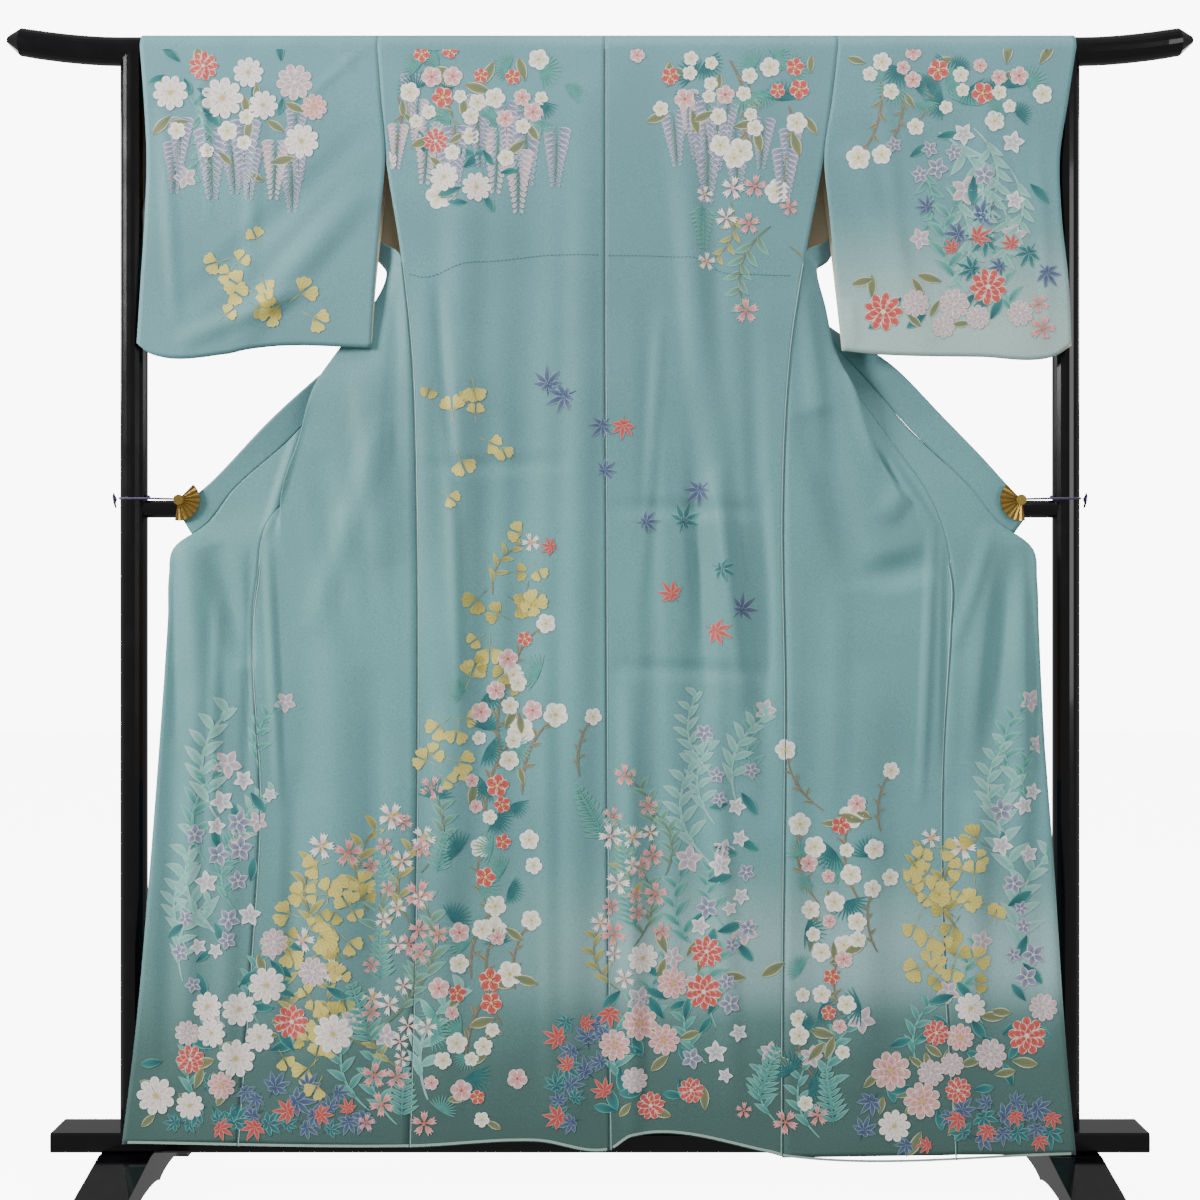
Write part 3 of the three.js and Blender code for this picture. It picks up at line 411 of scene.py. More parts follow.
def collarGrid(last, columns):
    drops, share = spread((0, last, int(last / 6))), spread((0, 1, columns))
    half = {side: collarPoint(side, share[None, :], drops[:, None]) for side in ("left", "right")}
    x = spread((-50, 64, 14))[:, None]
    inner, outer = xyz(x, cloth["overRod"], rod["height"]), xyz(x * 0.8, 34, 1584)
    middle = mix(inner, outer, share[None, :, None])
    return drawIn(np.concatenate([half["left"][::-1], middle, half["right"]]), cloth["seam"] + 0.1, 0)


def sleeveGrid(side):
    across, down = spread((0, 1, 56))[None, :], spread((1, 0, 72))[:, None]
    near = sleevePoint(side, "near", across, down)
    far = sleevePoint(side, "far", across, down[::-1])
    over = np.stack([overRod(near[-1, :, 0], degrees) for degrees in range(-75, 76, 15)])
    return drawIn(np.concatenate([near, over, far]), cloth["seam"], 0)


print("cloth tables read")

# The dyed flowers: thin painted shapes that lie just off the silk, one blade for each petal or leaf.
# Longer blades have more points along them, so that they follow the folds: (shorter than this, points).
paint = {"lift": 1.05, "across": (-1, -0.74, 0, 0.74, 1), "along": ((6, 4), (13, 5), (26, 7), (50, 9), (999, 24))}


def tone(red, green, blue):
    share = np.array([red, green, blue]) / 255
    return np.where(share <= 0.04045, share / 12.92, ((share + 0.055) / 1.055) ** 2.4)


tones = {
    "white": tone(240, 240, 232), "cream": tone(228, 220, 190), "coral": tone(208, 96, 84), "red": tone(186, 62, 60),
    "pink": tone(222, 158, 156), "blush": tone(216, 186, 182), "mustard": tone(196, 182, 84),
    "yellow": tone(214, 200, 112), "olive": tone(126, 128, 84), "moss": tone(100, 120, 92),
    "jade": tone(104, 176, 160), "teal": tone(58, 130, 128), "deep": tone(26, 84, 92), "slate": tone(98, 116, 144),
    "lilac": tone(160, 158, 182), "navy": tone(52, 66, 106), "mist": tone(150, 190, 186), "brown": tone(128, 112, 88),
}


def blades(base, tip, edge, x=0.0, z=0.0, angle=0.0, length=1.0, width=0.3, middle=0.55, power=0.8, bend=0.0):
    # One row for each blade, with its colours where it starts, at its tip and along its edges.
    values = np.broadcast_arrays(*(np.atleast_1d(v).astype(float) for v in (x, z, angle, length, width, middle,
                                                                            power, bend)))
    rows = np.stack(values, axis=1)
    colours = np.concatenate([tones[base], tones[tip], tones[edge]])
    return np.concatenate([rows, np.tile(colours, (len(rows), 1))], axis=1)


def ring(count, start, colours, turn=0.0, **shape):
    angle = np.arange(count) * 2 * math.pi / count + turn
    return blades(*colours, x=start * np.cos(angle), z=start * np.sin(angle), angle=angle, **shape)


def placed(rows, x=0.0, z=0.0, turn=0.0, size=1.0):
    out = rows.copy()
    c, s = math.cos(turn), math.sin(turn)
    out[:, 0], out[:, 1] = x + size * (rows[:, 0] * c - rows[:, 1] * s), z + size * (rows[:, 0] * s + rows[:, 1] * c)
    out[:, 2] += turn
    out[:, 3:5] *= size
    return out


def peony(outer, inner, heart):
    return np.concatenate([
        ring(9, 0.24, (inner, outer, "white"), length=0.76, width=0.5, middle=0.66, power=0.5),
        ring(7, 0.14, (inner, outer, "white"), turn=0.3, length=0.58, width=0.42, middle=0.66, power=0.5),
        ring(5, 0.04, (inner, outer, "white"), turn=0.7, length=0.38, width=0.3, middle=0.64, power=0.5),
        ring(6, 0.0, (heart, heart, "cream"), length=0.16, width=0.1, middle=0.6, power=0.5)])


def plum(outer, inner, heart):
    return np.concatenate([
        ring(5, 0.08, (inner, outer, "white"), length=0.9, width=0.92, middle=0.58, power=0.5),
        ring(10, 0.1, (heart, heart, heart), turn=0.3, length=0.42, width=0.05, middle=0.82, power=0.6),
        ring(5, 0.0, (heart, heart, "cream"), length=0.16, width=0.14, power=0.5)])


def bellflower(outer, inner):
    return np.concatenate([
        ring(5, 0.0, (inner, outer, "white"), length=1.0, width=0.64, middle=0.46, power=0.9),
        ring(5, 0.06, (inner, inner, inner), length=0.62, width=0.04, middle=0.4),
        ring(5, 0.0, ("cream", "cream", "cream"), turn=0.628, length=0.2, width=0.1)])


def pinks(outer, inner):
    # Five narrow petals, each with a fringe of points at its tip.
    fringe = np.repeat(np.arange(5) * 2 * math.pi / 5, 3)
    fan = np.tile([-0.42, 0, 0.42], 5)
    return np.concatenate([
        ring(5, 0.04, (inner, outer, "blush"), length=0.8, width=0.52, middle=0.74, power=0.7),
        blades(outer, outer, "white", x=0.62 * np.cos(fringe + fan * 0.4), z=0.62 * np.sin(fringe + fan * 0.4),
               angle=fringe + fan, length=0.38, width=0.13, middle=0.4),
        ring(5, 0.0, (inner, inner, "cream"), length=0.2, width=0.12)])


def wisteria(dark, light):
    # A hanging raceme: small petals in two rows that narrow towards the tip.
    at = np.repeat(np.linspace(0, 0.94, 11), 2)
    side = np.tile([1, -1], 11)
    return np.concatenate([
        blades("moss", "moss", "moss", angle=math.pi / 2, length=1.0, width=0.02),
        blades(dark, light, "white", x=0.02 * side, z=at, angle=math.pi / 2 - side * (1.25 - 0.5 * at),
               length=0.24 * (1 - 0.7 * at), width=0.12 * (1 - 0.6 * at), middle=0.62, power=0.5)])


def maple(dark, light):
    angle = np.radians([90, 48, 132, 8, 172, -40, 220])
    return np.concatenate([
        blades(dark, light, "mist", angle=angle, length=(1, 0.9, 0.9, 0.72, 0.72, 0.4, 0.4), width=0.3, middle=0.45,
               power=0.9),
        blades(dark, dark, dark, angle=-math.pi / 2, length=0.6, width=0.04)])


def ginkgo(dark, light):
    # A fan of narrow wedges on a stalk, notched in the middle.
    angle = np.radians([36, 54, 71, 109, 126, 144])
    return np.concatenate([
        blades(dark, light, light, angle=angle, length=(0.86, 0.96, 0.98, 0.98, 0.96, 0.86), width=0.36, middle=0.8,
               power=0.7),
        blades(dark, dark, dark, angle=-math.pi / 2, length=0.7, width=0.04)])


def pine(dark, light):
    angle = np.radians(np.linspace(12, 168, 13))
    return blades(dark, light, light, angle=angle, length=1 - 0.12 * np.abs(np.cos(angle)), width=0.075, middle=0.5,
                  power=0.9)


def fern(dark, light):
    at = np.repeat(np.linspace(0.08, 0.92, 9), 2)
    side = np.tile([1, -1], 9)
    return np.concatenate([
        blades(dark, light, "mist", angle=math.pi / 2 - side * 1.05, z=at, length=0.36 * (1 - 0.75 * at), width=0.08,
               middle=0.4, power=0.8),
        blades(dark, light, light, angle=math.pi / 2, length=1.08, width=0.04, middle=0.4)])


def spray(leaves, dark, light, head=None, bend=0.22, leafLength=0.24, stem="jade"):
    # A bent stem, with leaves in turn on each side and a flower at its tip.
    at = np.linspace(0.16, 0.94, leaves)
    side = np.where(np.arange(leaves) % 2, 1, -1)
    bow = bend * 4 * at * (1 - at)
    parts = [
        blades(stem, stem, stem, angle=math.pi / 2, length=1.0, width=0.028, middle=0.3, power=0.3, bend=bend * 4),
        blades(dark, light, "mist", x=-bow, z=at, angle=math.pi / 2 - side * 0.85, bend=side * 0.3,
               length=leafLength * (1.15 - 0.45 * at), width=leafLength * 0.34, middle=0.42, power=0.9)]
    if head is not None:
        parts.append(placed(head, z=1.0, size=0.15))
    return np.concatenate(parts)


motifs = {
    "whitePeony": peony("white", "blush", "mustard"), "coralPeony": peony("blush", "coral", "mustard"),
    "redPeony": peony("coral", "red", "cream"), "lilacPeony": peony("blush", "lilac", "cream"),
    "whitePlum": plum("white", "cream", "mustard"), "redPlum": plum("coral", "red", "yellow"),
    "pinkPlum": plum("blush", "pink", "red"), "lilacBell": bellflower("lilac", "slate"),
    "whiteBell": bellflower("white", "lilac"), "coralPinks": pinks("pink", "coral"),
    "whitePinks": pinks("white", "pink"),
    "wisteria": wisteria("slate", "lilac"), "paleWisteria": wisteria("lilac", "blush"),
    "slateMaple": maple("navy", "slate"), "coralMaple": maple("red", "coral"), "deepMaple": maple("deep", "teal"),
    "yellowGinkgo": ginkgo("mustard", "yellow"), "oliveGinkgo": ginkgo("olive", "mustard"),
    "deepLeaf": blades("deep", "teal", "jade", angle=math.pi / 2, width=0.42),
    "mossLeaf": blades("moss", "olive", "cream", angle=math.pi / 2, width=0.4),
    "deepPine": pine("deep", "teal"), "jadePine": pine("teal", "jade"), "jadeFern": fern("teal", "jade"),
    "jadeSpray": spray(9, "teal", "jade", bellflower("blush", "lilac")),
    "mistSpray": spray(11, "jade", "mist", stem="mist"),
    "oliveSpray": spray(8, "olive", "mustard", pinks("white", "pink"), stem="olive"),
    "mossSpray": spray(10, "moss", "jade", pinks("pink", "coral"), -0.2, stem="moss"),
    "plumBranch": spray(7, "brown", "olive", plum("white", "cream", "mustard"), 0.12, 0.14, "brown"),
}
motifSizes = {
    "whitePeony": 26, "coralPeony": 26, "redPeony": 24, "lilacPeony": 23, "whitePlum": 14, "redPlum": 15,
    "pinkPlum": 14, "lilacBell": 16, "whiteBell": 15, "coralPinks": 17, "whitePinks": 16, "wisteria": 92,
    "paleWisteria": 80, "slateMaple": 27, "coralMaple": 23, "deepMaple": 26, "yellowGinkgo": 24, "oliveGinkgo": 24,
    "deepLeaf": 36, "mossLeaf": 34, "deepPine": 32, "jadePine": 30, "jadeFern": 84, "jadeSpray": 130,
    "mistSpray": 150, "oliveSpray": 120, "mossSpray": 130, "plumBranch": 120,
}
# Each family's flowers, leaves and sprays.
families = {
    "peony": (("whitePeony", "coralPeony", "redPeony", "whitePeony", "lilacPeony"),
              ("deepLeaf", "mossLeaf", "deepLeaf"), ("jadeSpray",)),
    "plum": (("redPlum", "whitePlum", "pinkPlum", "whitePlum"), ("mossLeaf", "deepPine", "jadePine"),
             ("plumBranch",)),
    "bell": (("lilacBell", "whiteBell", "lilacBell"), ("deepLeaf",), ("mistSpray", "jadeSpray")),
    "pinks": (("coralPinks", "whitePinks"), ("jadeFern",), ("mossSpray", "oliveSpray")),
    "wisteria": (("whitePlum",), ("mossLeaf",), ("wisteria", "paleWisteria", "wisteria")),
    "maple": (("coralMaple",), ("slateMaple", "deepMaple", "slateMaple"), ("mistSpray",)),
    "ginkgo": (("yellowGinkgo",), ("oliveGinkgo", "yellowGinkgo", "yellowGinkgo"), ("oliveSpray",)),
    "fern": (("coralPinks",), ("jadeFern",), ("mistSpray", "jadeSpray")),
}

# Clumps that stand up from the hem, and branches that hang from both shoulders and along both sleeves.
# Each is scattered about a line: family, from, to, how wide, then its flowers, leaves and sprays, and the way
# that its sprays and ferns grow, in degrees from upright.
drifts = (
    ("peony", (-600, 150), (-420, 330), 34, 16, 44, 2, 0), ("maple", (-610, 130), (-360, 120), 26, 10, 26, 0, 0),
    ("bell", (-560, 300), (-500, 640), 30, 18, 8, 9, 8), ("ginkgo", (-420, 180), (-380, 440), 34, 10, 30, 2, -10),
    ("fern", (-330, 110), (-250, 130), 26, 3, 8, 4, 0), ("pinks", (-300, 150), (-270, 520), 30, 22, 4, 9, -6),
    ("plum", (-190, 120), (-120, 760), 34, 38, 40, 10, 10), ("ginkgo", (-210, 620), (-90, 900), 30, 6, 16, 1, 20),
    ("maple", (-60, 120), (-20, 260), 24, 6, 14, 0, 0), ("peony", (70, 150), (110, 330), 34, 12, 34, 2, 0),
    ("pinks", (30, 300), (60, 520), 28, 13, 3, 6, -8), ("bell", (150, 190), (190, 640), 26, 20, 8, 9, 12),
    ("fern", (230, 120), (300, 120), 24, 3, 7, 4, 0), ("plum", (300, 150), (350, 560), 34, 26, 28, 7, -10),
    ("peony", (420, 140), (580, 260), 34, 14, 40, 2, 0), ("maple", (380, 110), (620, 120), 24, 9, 22, 0, 0),
    ("ginkgo", (500, 300), (470, 500), 34, 9, 26, 2, 6), ("bell", (600, 300), (590, 560), 20, 11, 4, 5, -4),
    ("maple", (-40, 1180), (180, 760), 60, 4, 9, 0, 0), ("ginkgo", (-230, 1230), (-150, 980), 50, 3, 8, 0, 0),
    ("plum", (-280, 1590), (-80, 1560), 26, 17, 22, 3, 180),
    ("wisteria", (-280, 1560), (-90, 1530), 24, 7, 10, 13, 180),
    ("peony", (-250, 1500), (-170, 1430), 26, 4, 12, 0, 180), ("plum", (90, 1585), (290, 1590), 22, 15, 20, 3, 180),
    ("wisteria", (90, 1550), (300, 1520), 22, 6, 8, 12, 180), ("pinks", (160, 1420), (240, 1390), 26, 6, 1, 3, 180),
    ("peony", (-620, 1590), (-420, 1560), 26, 8, 22, 1, 180),
    ("wisteria", (-620, 1530), (-440, 1500), 24, 5, 8, 10, 180),
    ("ginkgo", (-560, 1320), (-430, 1270), 34, 4, 11, 0, 0), ("plum", (380, 1590), (620, 1570), 26, 18, 24, 3, 180),
    ("bell", (430, 1500), (610, 1440), 34, 9, 4, 6, 180), ("peony", (380, 1270), (560, 1260), 24, 7, 22, 1, 0),
    ("fern", (590, 1240), (630, 1240), 14, 2, 3, 2, 0), ("maple", (480, 1380), (600, 1340), 34, 3, 8, 0, 0),
)
growth = np.random.default_rng(7)


# Heights and distances that keep motifs off the sleeves' ends, the bare crest, and the gap between the back and
# the spread fronts. Motifs reach the fronts below frontTop, and may cross the side seam below seamCloses.
clear = {"sleeveLow": 1212, "crestX": 8, "crestWide": 42, "crestLow": 1580, "frontTop": 780, "seamCloses": 860,
         "sleeveEnd": 1222, "rodGap": 4, "frontEdge": 870, "backEdge": 262, "lowMotif": 865}


def hemHeight(x):
    return read(hem, "x", "height", x)


def panelOf(x, z, margin):
    # The piece that shows at a place, or nothing in a gap or where the crest would be.
    side = "left" if x < 10 else "right"
    reach = abs(x)
    height = np.array([z])
    inner, outer = (abs(read(sleeve[side], "height", name, height)[0]) for name in ("inner", "outer"))
    if z > clear["sleeveLow"] + margin and inner + margin < reach < outer - margin:
        return "sleeve_" + side
    if abs(x - clear["crestX"]) < clear["crestWide"] and z > clear["crestLow"]:
        return None
    seamX = abs(read(back[side], "height", "side", height)[0])
    if z < hemHeight(x) + margin:
        return None
    if reach < seamX - (margin if z > clear["seamCloses"] else 0):
        return "body_" + side
    drop = np.array([rod["height"] - z])
    edge = abs(read(overlapEdge[side], "drop", "edge", drop)[0, 0])
    if z > clear["frontTop"] or reach > edge - margin:
        return None
    return ("body_" if reach < abs(read(front[side], "drop", "seam", drop)[0, 0]) else "overlap_") + side


def grow():
    # Scatters each family along its line, keeping flowers apart from each other, and leaves from each other.
    beds, taken = {}, {0: [], 1: [], 2: []}
    for family, start, end, breadth, *counts, heading in drifts:
        for kind, count in zip((2, 1, 0), reversed(counts)):
            names = families[family][kind]
            made = 0
            for _ in range(count * 6):
                if made == count:
                    break
                along = growth.random()
                x, z = (mix(start[i], end[i], along) + breadth * growth.normal() * 0.8 for i in (0, 1))
                name = names[growth.integers(len(names))]
                size = motifSizes[name] * growth.uniform(0.72, 1.15)
                panel = panelOf(x, z, 8 + (0.8 if kind < 2 else 0.3) * min(size, 40))
                apart = {0: 0.86, 1: 0.36, 2: 0.16}[kind]
                if panel is None or any(math.hypot(x - a, z - b) < apart * (size + c) for a, b, c in taken[kind]):
                    continue
                taken[kind].append((x, z, size))
                upright = kind == 2 or name.endswith("Fern")
                turn = growth.uniform(-0.4, 0.4) - math.radians(heading) if upright else growth.uniform(0, 6.28)
                if "isteria" in name:
                    turn = math.pi + growth.uniform(-0.08, 0.08)
                rows = placed(motifs[name], x, z, turn, size)
                level = {2: 0, 1: 0.16, 0: 0.34}[kind] + growth.uniform(0, 0.14)
                lift = level + np.arange(len(rows)) * 0.006
                beds.setdefault(panel, []).append(np.column_stack([rows, lift, np.full(len(rows), z)]))
                made += 1
    return {panel: np.concatenate(rows) for panel, rows in beds.items()}


def surfaceY(panel, x, z):
    if panel.startswith("sleeve"):
        side = panel[7:]
        low = read(sleeveHem[side], "across", "height", 0.5)
        down = (rod["height"] - z) / (rod["height"] - low)
        return mix(nearLayer["atRod"], nearLayer["atHem"], down) - foldDepth(x, z)
    return hang(z) - foldDepth(x, z)


def keptInside(panel, x, z, low):
    side = panel.split("_")[1]
    sign = -1 if side == "left" else 1
    if panel.startswith("sleeve"):
        z = np.clip(z, clear["sleeveEnd"], rod["height"] - clear["rodGap"])
        inner, outer = (np.abs(read(sleeve[side], "height", name, z)) for name in ("inner", "outer"))
        return sign * np.clip(sign * x, inner + 5, outer - 6), z
    highest = np.where(low & (np.abs(x) > clear["backEdge"]), clear["frontEdge"], rod["height"] - clear["rodGap"])
    z = np.clip(z, hemHeight(x) + 7, highest)
    edge = np.abs(read(overlapEdge[side], "drop", "edge", rod["height"] - z)[..., 0])
    seamX = np.abs(read(back[side], "height", "side", z))
    limit = np.where(low, edge - 6, seamX - 5)
    return np.where(sign * x > 0, sign * np.minimum(sign * x, limit), x), z


def stripFaces(count, along, across):
    r, c = np.meshgrid(np.arange(along - 1), np.arange(across - 1), indexing="ij")
    one = np.stack([r * across + c, r * across + c + 1, (r + 1) * across + c + 1, (r + 1) * across + c],
                   axis=-1).reshape(-1, 4)
    return (one[None] + (np.arange(count) * along * across)[:, None, None]).reshape(-1, 4)


def painted(panel, rows):
    shortest, parts = 0, []
    for longest, points in paint["along"]:
        some = rows[(rows[:, 3] >= shortest) & (rows[:, 3] < longest)]
        parts.append(bladeMesh(panel, some, points))
        shortest = longest
    return parts


def bladeMesh(panel, rows, along):
    # Each blade widens from its foot to its middle and closes at its tip: half width times sin(pi t^k)^power.
    x, z, angle, length, width, middle, power, bend = rows[:, :8].T
    base, tip, edge = rows[:, 8:11], rows[:, 11:14], rows[:, 14:17]
    t = (1 - np.cos(np.linspace(0, math.pi, along))) / 2
    s = np.array(paint["across"])
    k = (math.log(0.5) / np.log(middle))[:, None]
    half = width[:, None] / 2 * np.sin(math.pi * np.clip(t[None] ** k, 1e-4, 1 - 1e-4)) ** power[:, None]
    ahead = t[None, :, None] * length[:, None, None] * np.ones((1, 1, len(s)))
    aside = s[None, None] * half[:, :, None] + (bend * length)[:, None, None] * (t * (1 - t))[None, :, None]
    c, n = np.cos(angle)[:, None, None], np.sin(angle)[:, None, None]
    px, pz = keptInside(panel, x[:, None, None] + ahead * c - aside * n, z[:, None, None] + ahead * n + aside * c,
                        (rows[:, 18] < clear["lowMotif"])[:, None, None])
    py = surfaceY(panel, px, pz) - paint["lift"] - rows[:, 17][:, None, None]
    colour = mix(base[:, None, None], tip[:, None, None], t[None, :, None, None])
    colour = np.broadcast_to(colour, px.shape + (3,)).copy()
    colour[:, :, 2] *= 0.8
    colour[:, :, [0, -1]] = edge[:, None, None]
    faces = stripFaces(len(rows), len(t), len(s))
    return np.stack([px, py, pz], axis=-1).reshape(-1, 3), faces, np.zeros(len(faces), int), colour.reshape(-1, 3)


def ribbon(panel, path, width, colour, lift):
    # A narrow flat line along a path of (x, z) places on a panel.
    run = np.gradient(path, axis=0)
    aside = np.stack([-run[:, 1], run[:, 0]], axis=1) / np.linalg.norm(run, axis=1, keepdims=True) * width / 2
    across = path[:, None] + aside[:, None] * np.array([-1, 0, 1])[None, :, None]
    px, pz = across[..., 0], across[..., 1]
    points = np.stack([px, surfaceY(panel, px, pz) - lift, pz], axis=-1).reshape(-1, 3)
    faces = gridFaces(len(path), 3)
    return points, faces, np.zeros(len(faces), int), np.tile(np.array(colour), (len(points), 1))


# Seams are drawn as colour: a dark line of painted shade along each seam's groove, and beside it a lighter line of
# painted highlight on the seam's raised edge.
seams = {"width": 1.5, "lift": 1.2, "dark": tone(62, 96, 98), "light": tone(168, 200, 196)}


def seamPath(side, name, top):
    z = np.linspace(top, 80, 150)
    for _ in range(3):
        if name == "seam":
            x = read(front[side], "drop", "seam", rod["height"] - z)[:, 0]
        else:
            x = read(back[side], "height", name, z)
        z = np.linspace(top, hemHeight(x[-1:])[0] + 1, 150)
    return np.stack([x, z], axis=1)


def seamLines(side):
    panel, inward = "body_" + side, 1 if side == "left" else -1
    parts = []
    for name, top in (("centre", 1634), ("side", 1330), ("seam", 900)):
        if name == "centre" and side == "right":
            continue
        path = seamPath(side, name, top)
        # Painted shade along the seam, then a painted highlight just inside it.
        parts.append(ribbon(panel, path, seams["width"], seams["dark"], seams["lift"]))
        parts.append(ribbon(panel, path + [inward * 1.6, 0], 1.0, seams["light"], seams["lift"] - 0.1))
    return parts


# The tuck across the back at the waist, held with small stitches: (x, height).
tuck = table("x height", [
    (-277, 1316), (-248, 1309), (-193, 1328), (-139, 1333), (-85, 1340), (6, 1340), (99, 1338), (150, 1331),
    (169, 1318), (223, 1313), (277, 1311)])


def tuckStitches(side):
    start = np.arange(-270, 0, 5.4) if side == "left" else np.arange(12, 268, 5.4)
    x = start[:, None] + np.array([0, 1.6, 3.2])
    parts = []
    for stitch in x:
        path = np.stack([stitch, read(tuck, "x", "height", stitch)], axis=1)
        parts.append(ribbon("body_" + side, path, 1.0, seams["dark"], seams["lift"]))
    return parts


class Wire:
    # A node's output, with sums and products written as they are on paper.
    def __init__(self, shader, socket):
        self.shader, self.socket = shader, socket

    def maths(self, operation, other, swap=False):
        values = [other, self] if swap else [self, other]
        return self.shader.node("ShaderNodeMath", {"operation": operation}, dict(enumerate(values)))

    def __add__(self, other): return self.maths("ADD", other)
    def __radd__(self, other): return self.maths("ADD", other, True)
    def __sub__(self, other): return self.maths("SUBTRACT", other)
    def __rsub__(self, other): return self.maths("SUBTRACT", other, True)
    def __mul__(self, other): return self.maths("MULTIPLY", other)
    def __rmul__(self, other): return self.maths("MULTIPLY", other, True)

    def step(self, low, high):
        # 0 below low, 1 above high, and a smooth rise between.
        return self.shader.node("ShaderNodeMapRange", {"interpolation_type": "SMOOTHSTEP"},
                                {"Value": self, "From Min": low, "From Max": high})


class Shader:
    def __init__(self, name, **constants):
        self.material = bpy.data.materials.new(name)
        self.material.use_nodes = True
        self.tree = self.material.node_tree
        self.surface = self.tree.nodes["Principled BSDF"]
        for socket, value in constants.items():
            self.surface.inputs[socket.replace("_", " ")].default_value = value

    def join(self, value, socket):
        if isinstance(value, Wire):
            self.tree.links.new(value.socket, socket)
        else:
            socket.default_value = value

    def node(self, kind, settings, values, output=0):
        node = self.tree.nodes.new(kind)
        for name, value in settings.items():
            setattr(node, name, value)
        for name, value in values.items():
            self.join(value, node.inputs[name])
        return Wire(self, node.outputs[output])

    def places(self):
        place = self.node("ShaderNodeTexCoord", {}, {}, "Object")
        parts = self.tree.nodes.new("ShaderNodeSeparateXYZ")
        self.tree.links.new(place.socket, parts.inputs[0])
        return place, [Wire(self, parts.outputs[i]) for i in range(3)]

    def noise(self, place, scale, detail=2.0):
        return self.node("ShaderNodeTexNoise", {}, {"Vector": place, "Scale": scale, "Detail": detail}, "Fac")

    def ramp(self, value, stops):
        node = self.tree.nodes.new("ShaderNodeValToRGB")
        self.join(value, node.inputs[0])
        ends = node.color_ramp.elements
        while len(ends) < len(stops):
            ends.new(0.5)
        for end, (place, colour) in zip(ends, stops):
            end.position, end.color = place, (*colour, 1)
        return Wire(self, node.outputs[0])

    def blend(self, factor, first, second, how="MIX"):
        node = self.tree.nodes.new("ShaderNodeMix")
        node.data_type, node.blend_type = "RGBA", how
        for value, index in ((factor, 0), (first, 6), (second, 7)):
            self.join(value, node.inputs[index])
        return Wire(self, node.outputs[2])

    def darkened(self, colour, share):
        shade = self.node("ShaderNodeCombineColor", {}, {i: share for i in range(3)})
        return self.blend(1.0, colour, shade, "MULTIPLY")

    def finish(self, colour=None, roughness=None, bump=None, height=0.0002, strength=0.5):
        if colour is not None:
            self.join(colour, self.surface.inputs["Base Color"])
        if roughness is not None:
            self.join(roughness, self.surface.inputs["Roughness"])
        if bump is not None:
            normal = self.node("ShaderNodeBump", {}, {"Height": bump, "Distance": height, "Strength": strength})
            self.join(normal, self.surface.inputs["Normal"])
        return self.material


# The silk's dye, from the hem up: (height as a share of 1.66 m, colour).
silk = {
    "dye": [(0.04, tone(64, 92, 87)), (0.12, tone(72, 104, 99)), (0.19, tone(92, 133, 132)),
            (0.32, tone(96, 146, 148)), (0.5, tone(97, 149, 150)), (0.68, tone(92, 138, 141)),
            (0.98, tone(96, 143, 149))],
    "mistColour": tone(146, 184, 182), "paleColour": tone(168, 194, 186), "crepe": 620, "grain": 1500, "sheen": 0.22,
}


def opaque(colour):
    return (*colour, 1)


def silkColour(shader, place, x, z, palesToHem=False):
    colour = shader.ramp(z * (1 / 1.66), silk["dye"])
    mist = z.step(0.25, 0.33) * (1 - z.step(0.36, 0.5)) * x.step(-0.2, 0.1) * 0.75
    colour = shader.blend(mist, colour, opaque(silk["mistColour"]))
    if palesToHem:
        colour = shader.blend((1 - z.step(1.215, 1.42)) * 0.8, colour, opaque(silk["paleColour"]))
    cloud = shader.noise(place, 5.0).step(0.3, 0.7) * 0.16 + 0.92
    grain = shader.noise(place, silk["crepe"]).step(0.3, 0.7) * 0.24 + 0.88
    return shader.darkened(colour, cloud * grain)


def crepeHeight(shader, place):
    return shader.noise(place, silk["crepe"], 1.0) * 0.7 + shader.noise(place, silk["grain"], 0.0) * 0.3


def silkMaterial(name, palesToHem=False):
    shader = Shader(name, Sheen_Weight=silk["sheen"], Sheen_Roughness=0.4, Specular_IOR_Level=0.35)
    place, (x, _, z) = shader.places()
    rough = shader.noise(place, 60.0) * 0.12 + 0.5
    return shader.finish(silkColour(shader, place, x, z, palesToHem), rough, crepeHeight(shader, place), 0.0006, 0.75)


def liningMaterial():
    # Plain ecru silk above, and a facing of the outer cloth's colour near the hem.
    shader = Shader("lining silk", Sheen_Weight=0.12, Specular_IOR_Level=0.3)
    place, (x, _, z) = shader.places()
    ecru = shader.blend(shader.noise(place, 9.0), opaque(tone(196, 184, 158)), opaque(tone(208, 197, 172)))
    facing = 1 - z.step(0.585, 0.59)
    colour = shader.blend(facing, ecru, silkColour(shader, place, x, z))
    return shader.finish(colour, shader.noise(place, 80.0) * 0.1 + 0.5, shader.noise(place, 1400.0), 0.0001, 0.4)


def paintMaterial():
    shader = Shader("dyed flowers", Sheen_Weight=silk["sheen"], Specular_IOR_Level=0.3)
    place, _ = shader.places()
    dye = shader.node("ShaderNodeAttribute", {"attribute_name": "paint"}, {}, "Color")
    grain = shader.noise(place, silk["crepe"]).step(0.25, 0.75) * 0.16 + 0.9
    colour = shader.darkened(dye, grain)
    return shader.finish(colour, shader.noise(place, 60.0) * 0.1 + 0.5, crepeHeight(shader, place), 0.0003, 0.4)


def lacquerMaterial():
    shader = Shader("black lacquer", Coat_Weight=0.3, Coat_Roughness=0.05, Specular_IOR_Level=0.25)
    place, _ = shader.places()
    worn = shader.noise(place, 35.0, 4.0).step(0.45, 0.8)
    colour = shader.blend(worn, opaque(tone(4, 4, 6)), opaque(tone(10, 10, 13)))
    return shader.finish(colour, shader.noise(place, 22.0, 3.0) * 0.14 + 0.1, shader.noise(place, 14.0), 0.0004, 0.2)


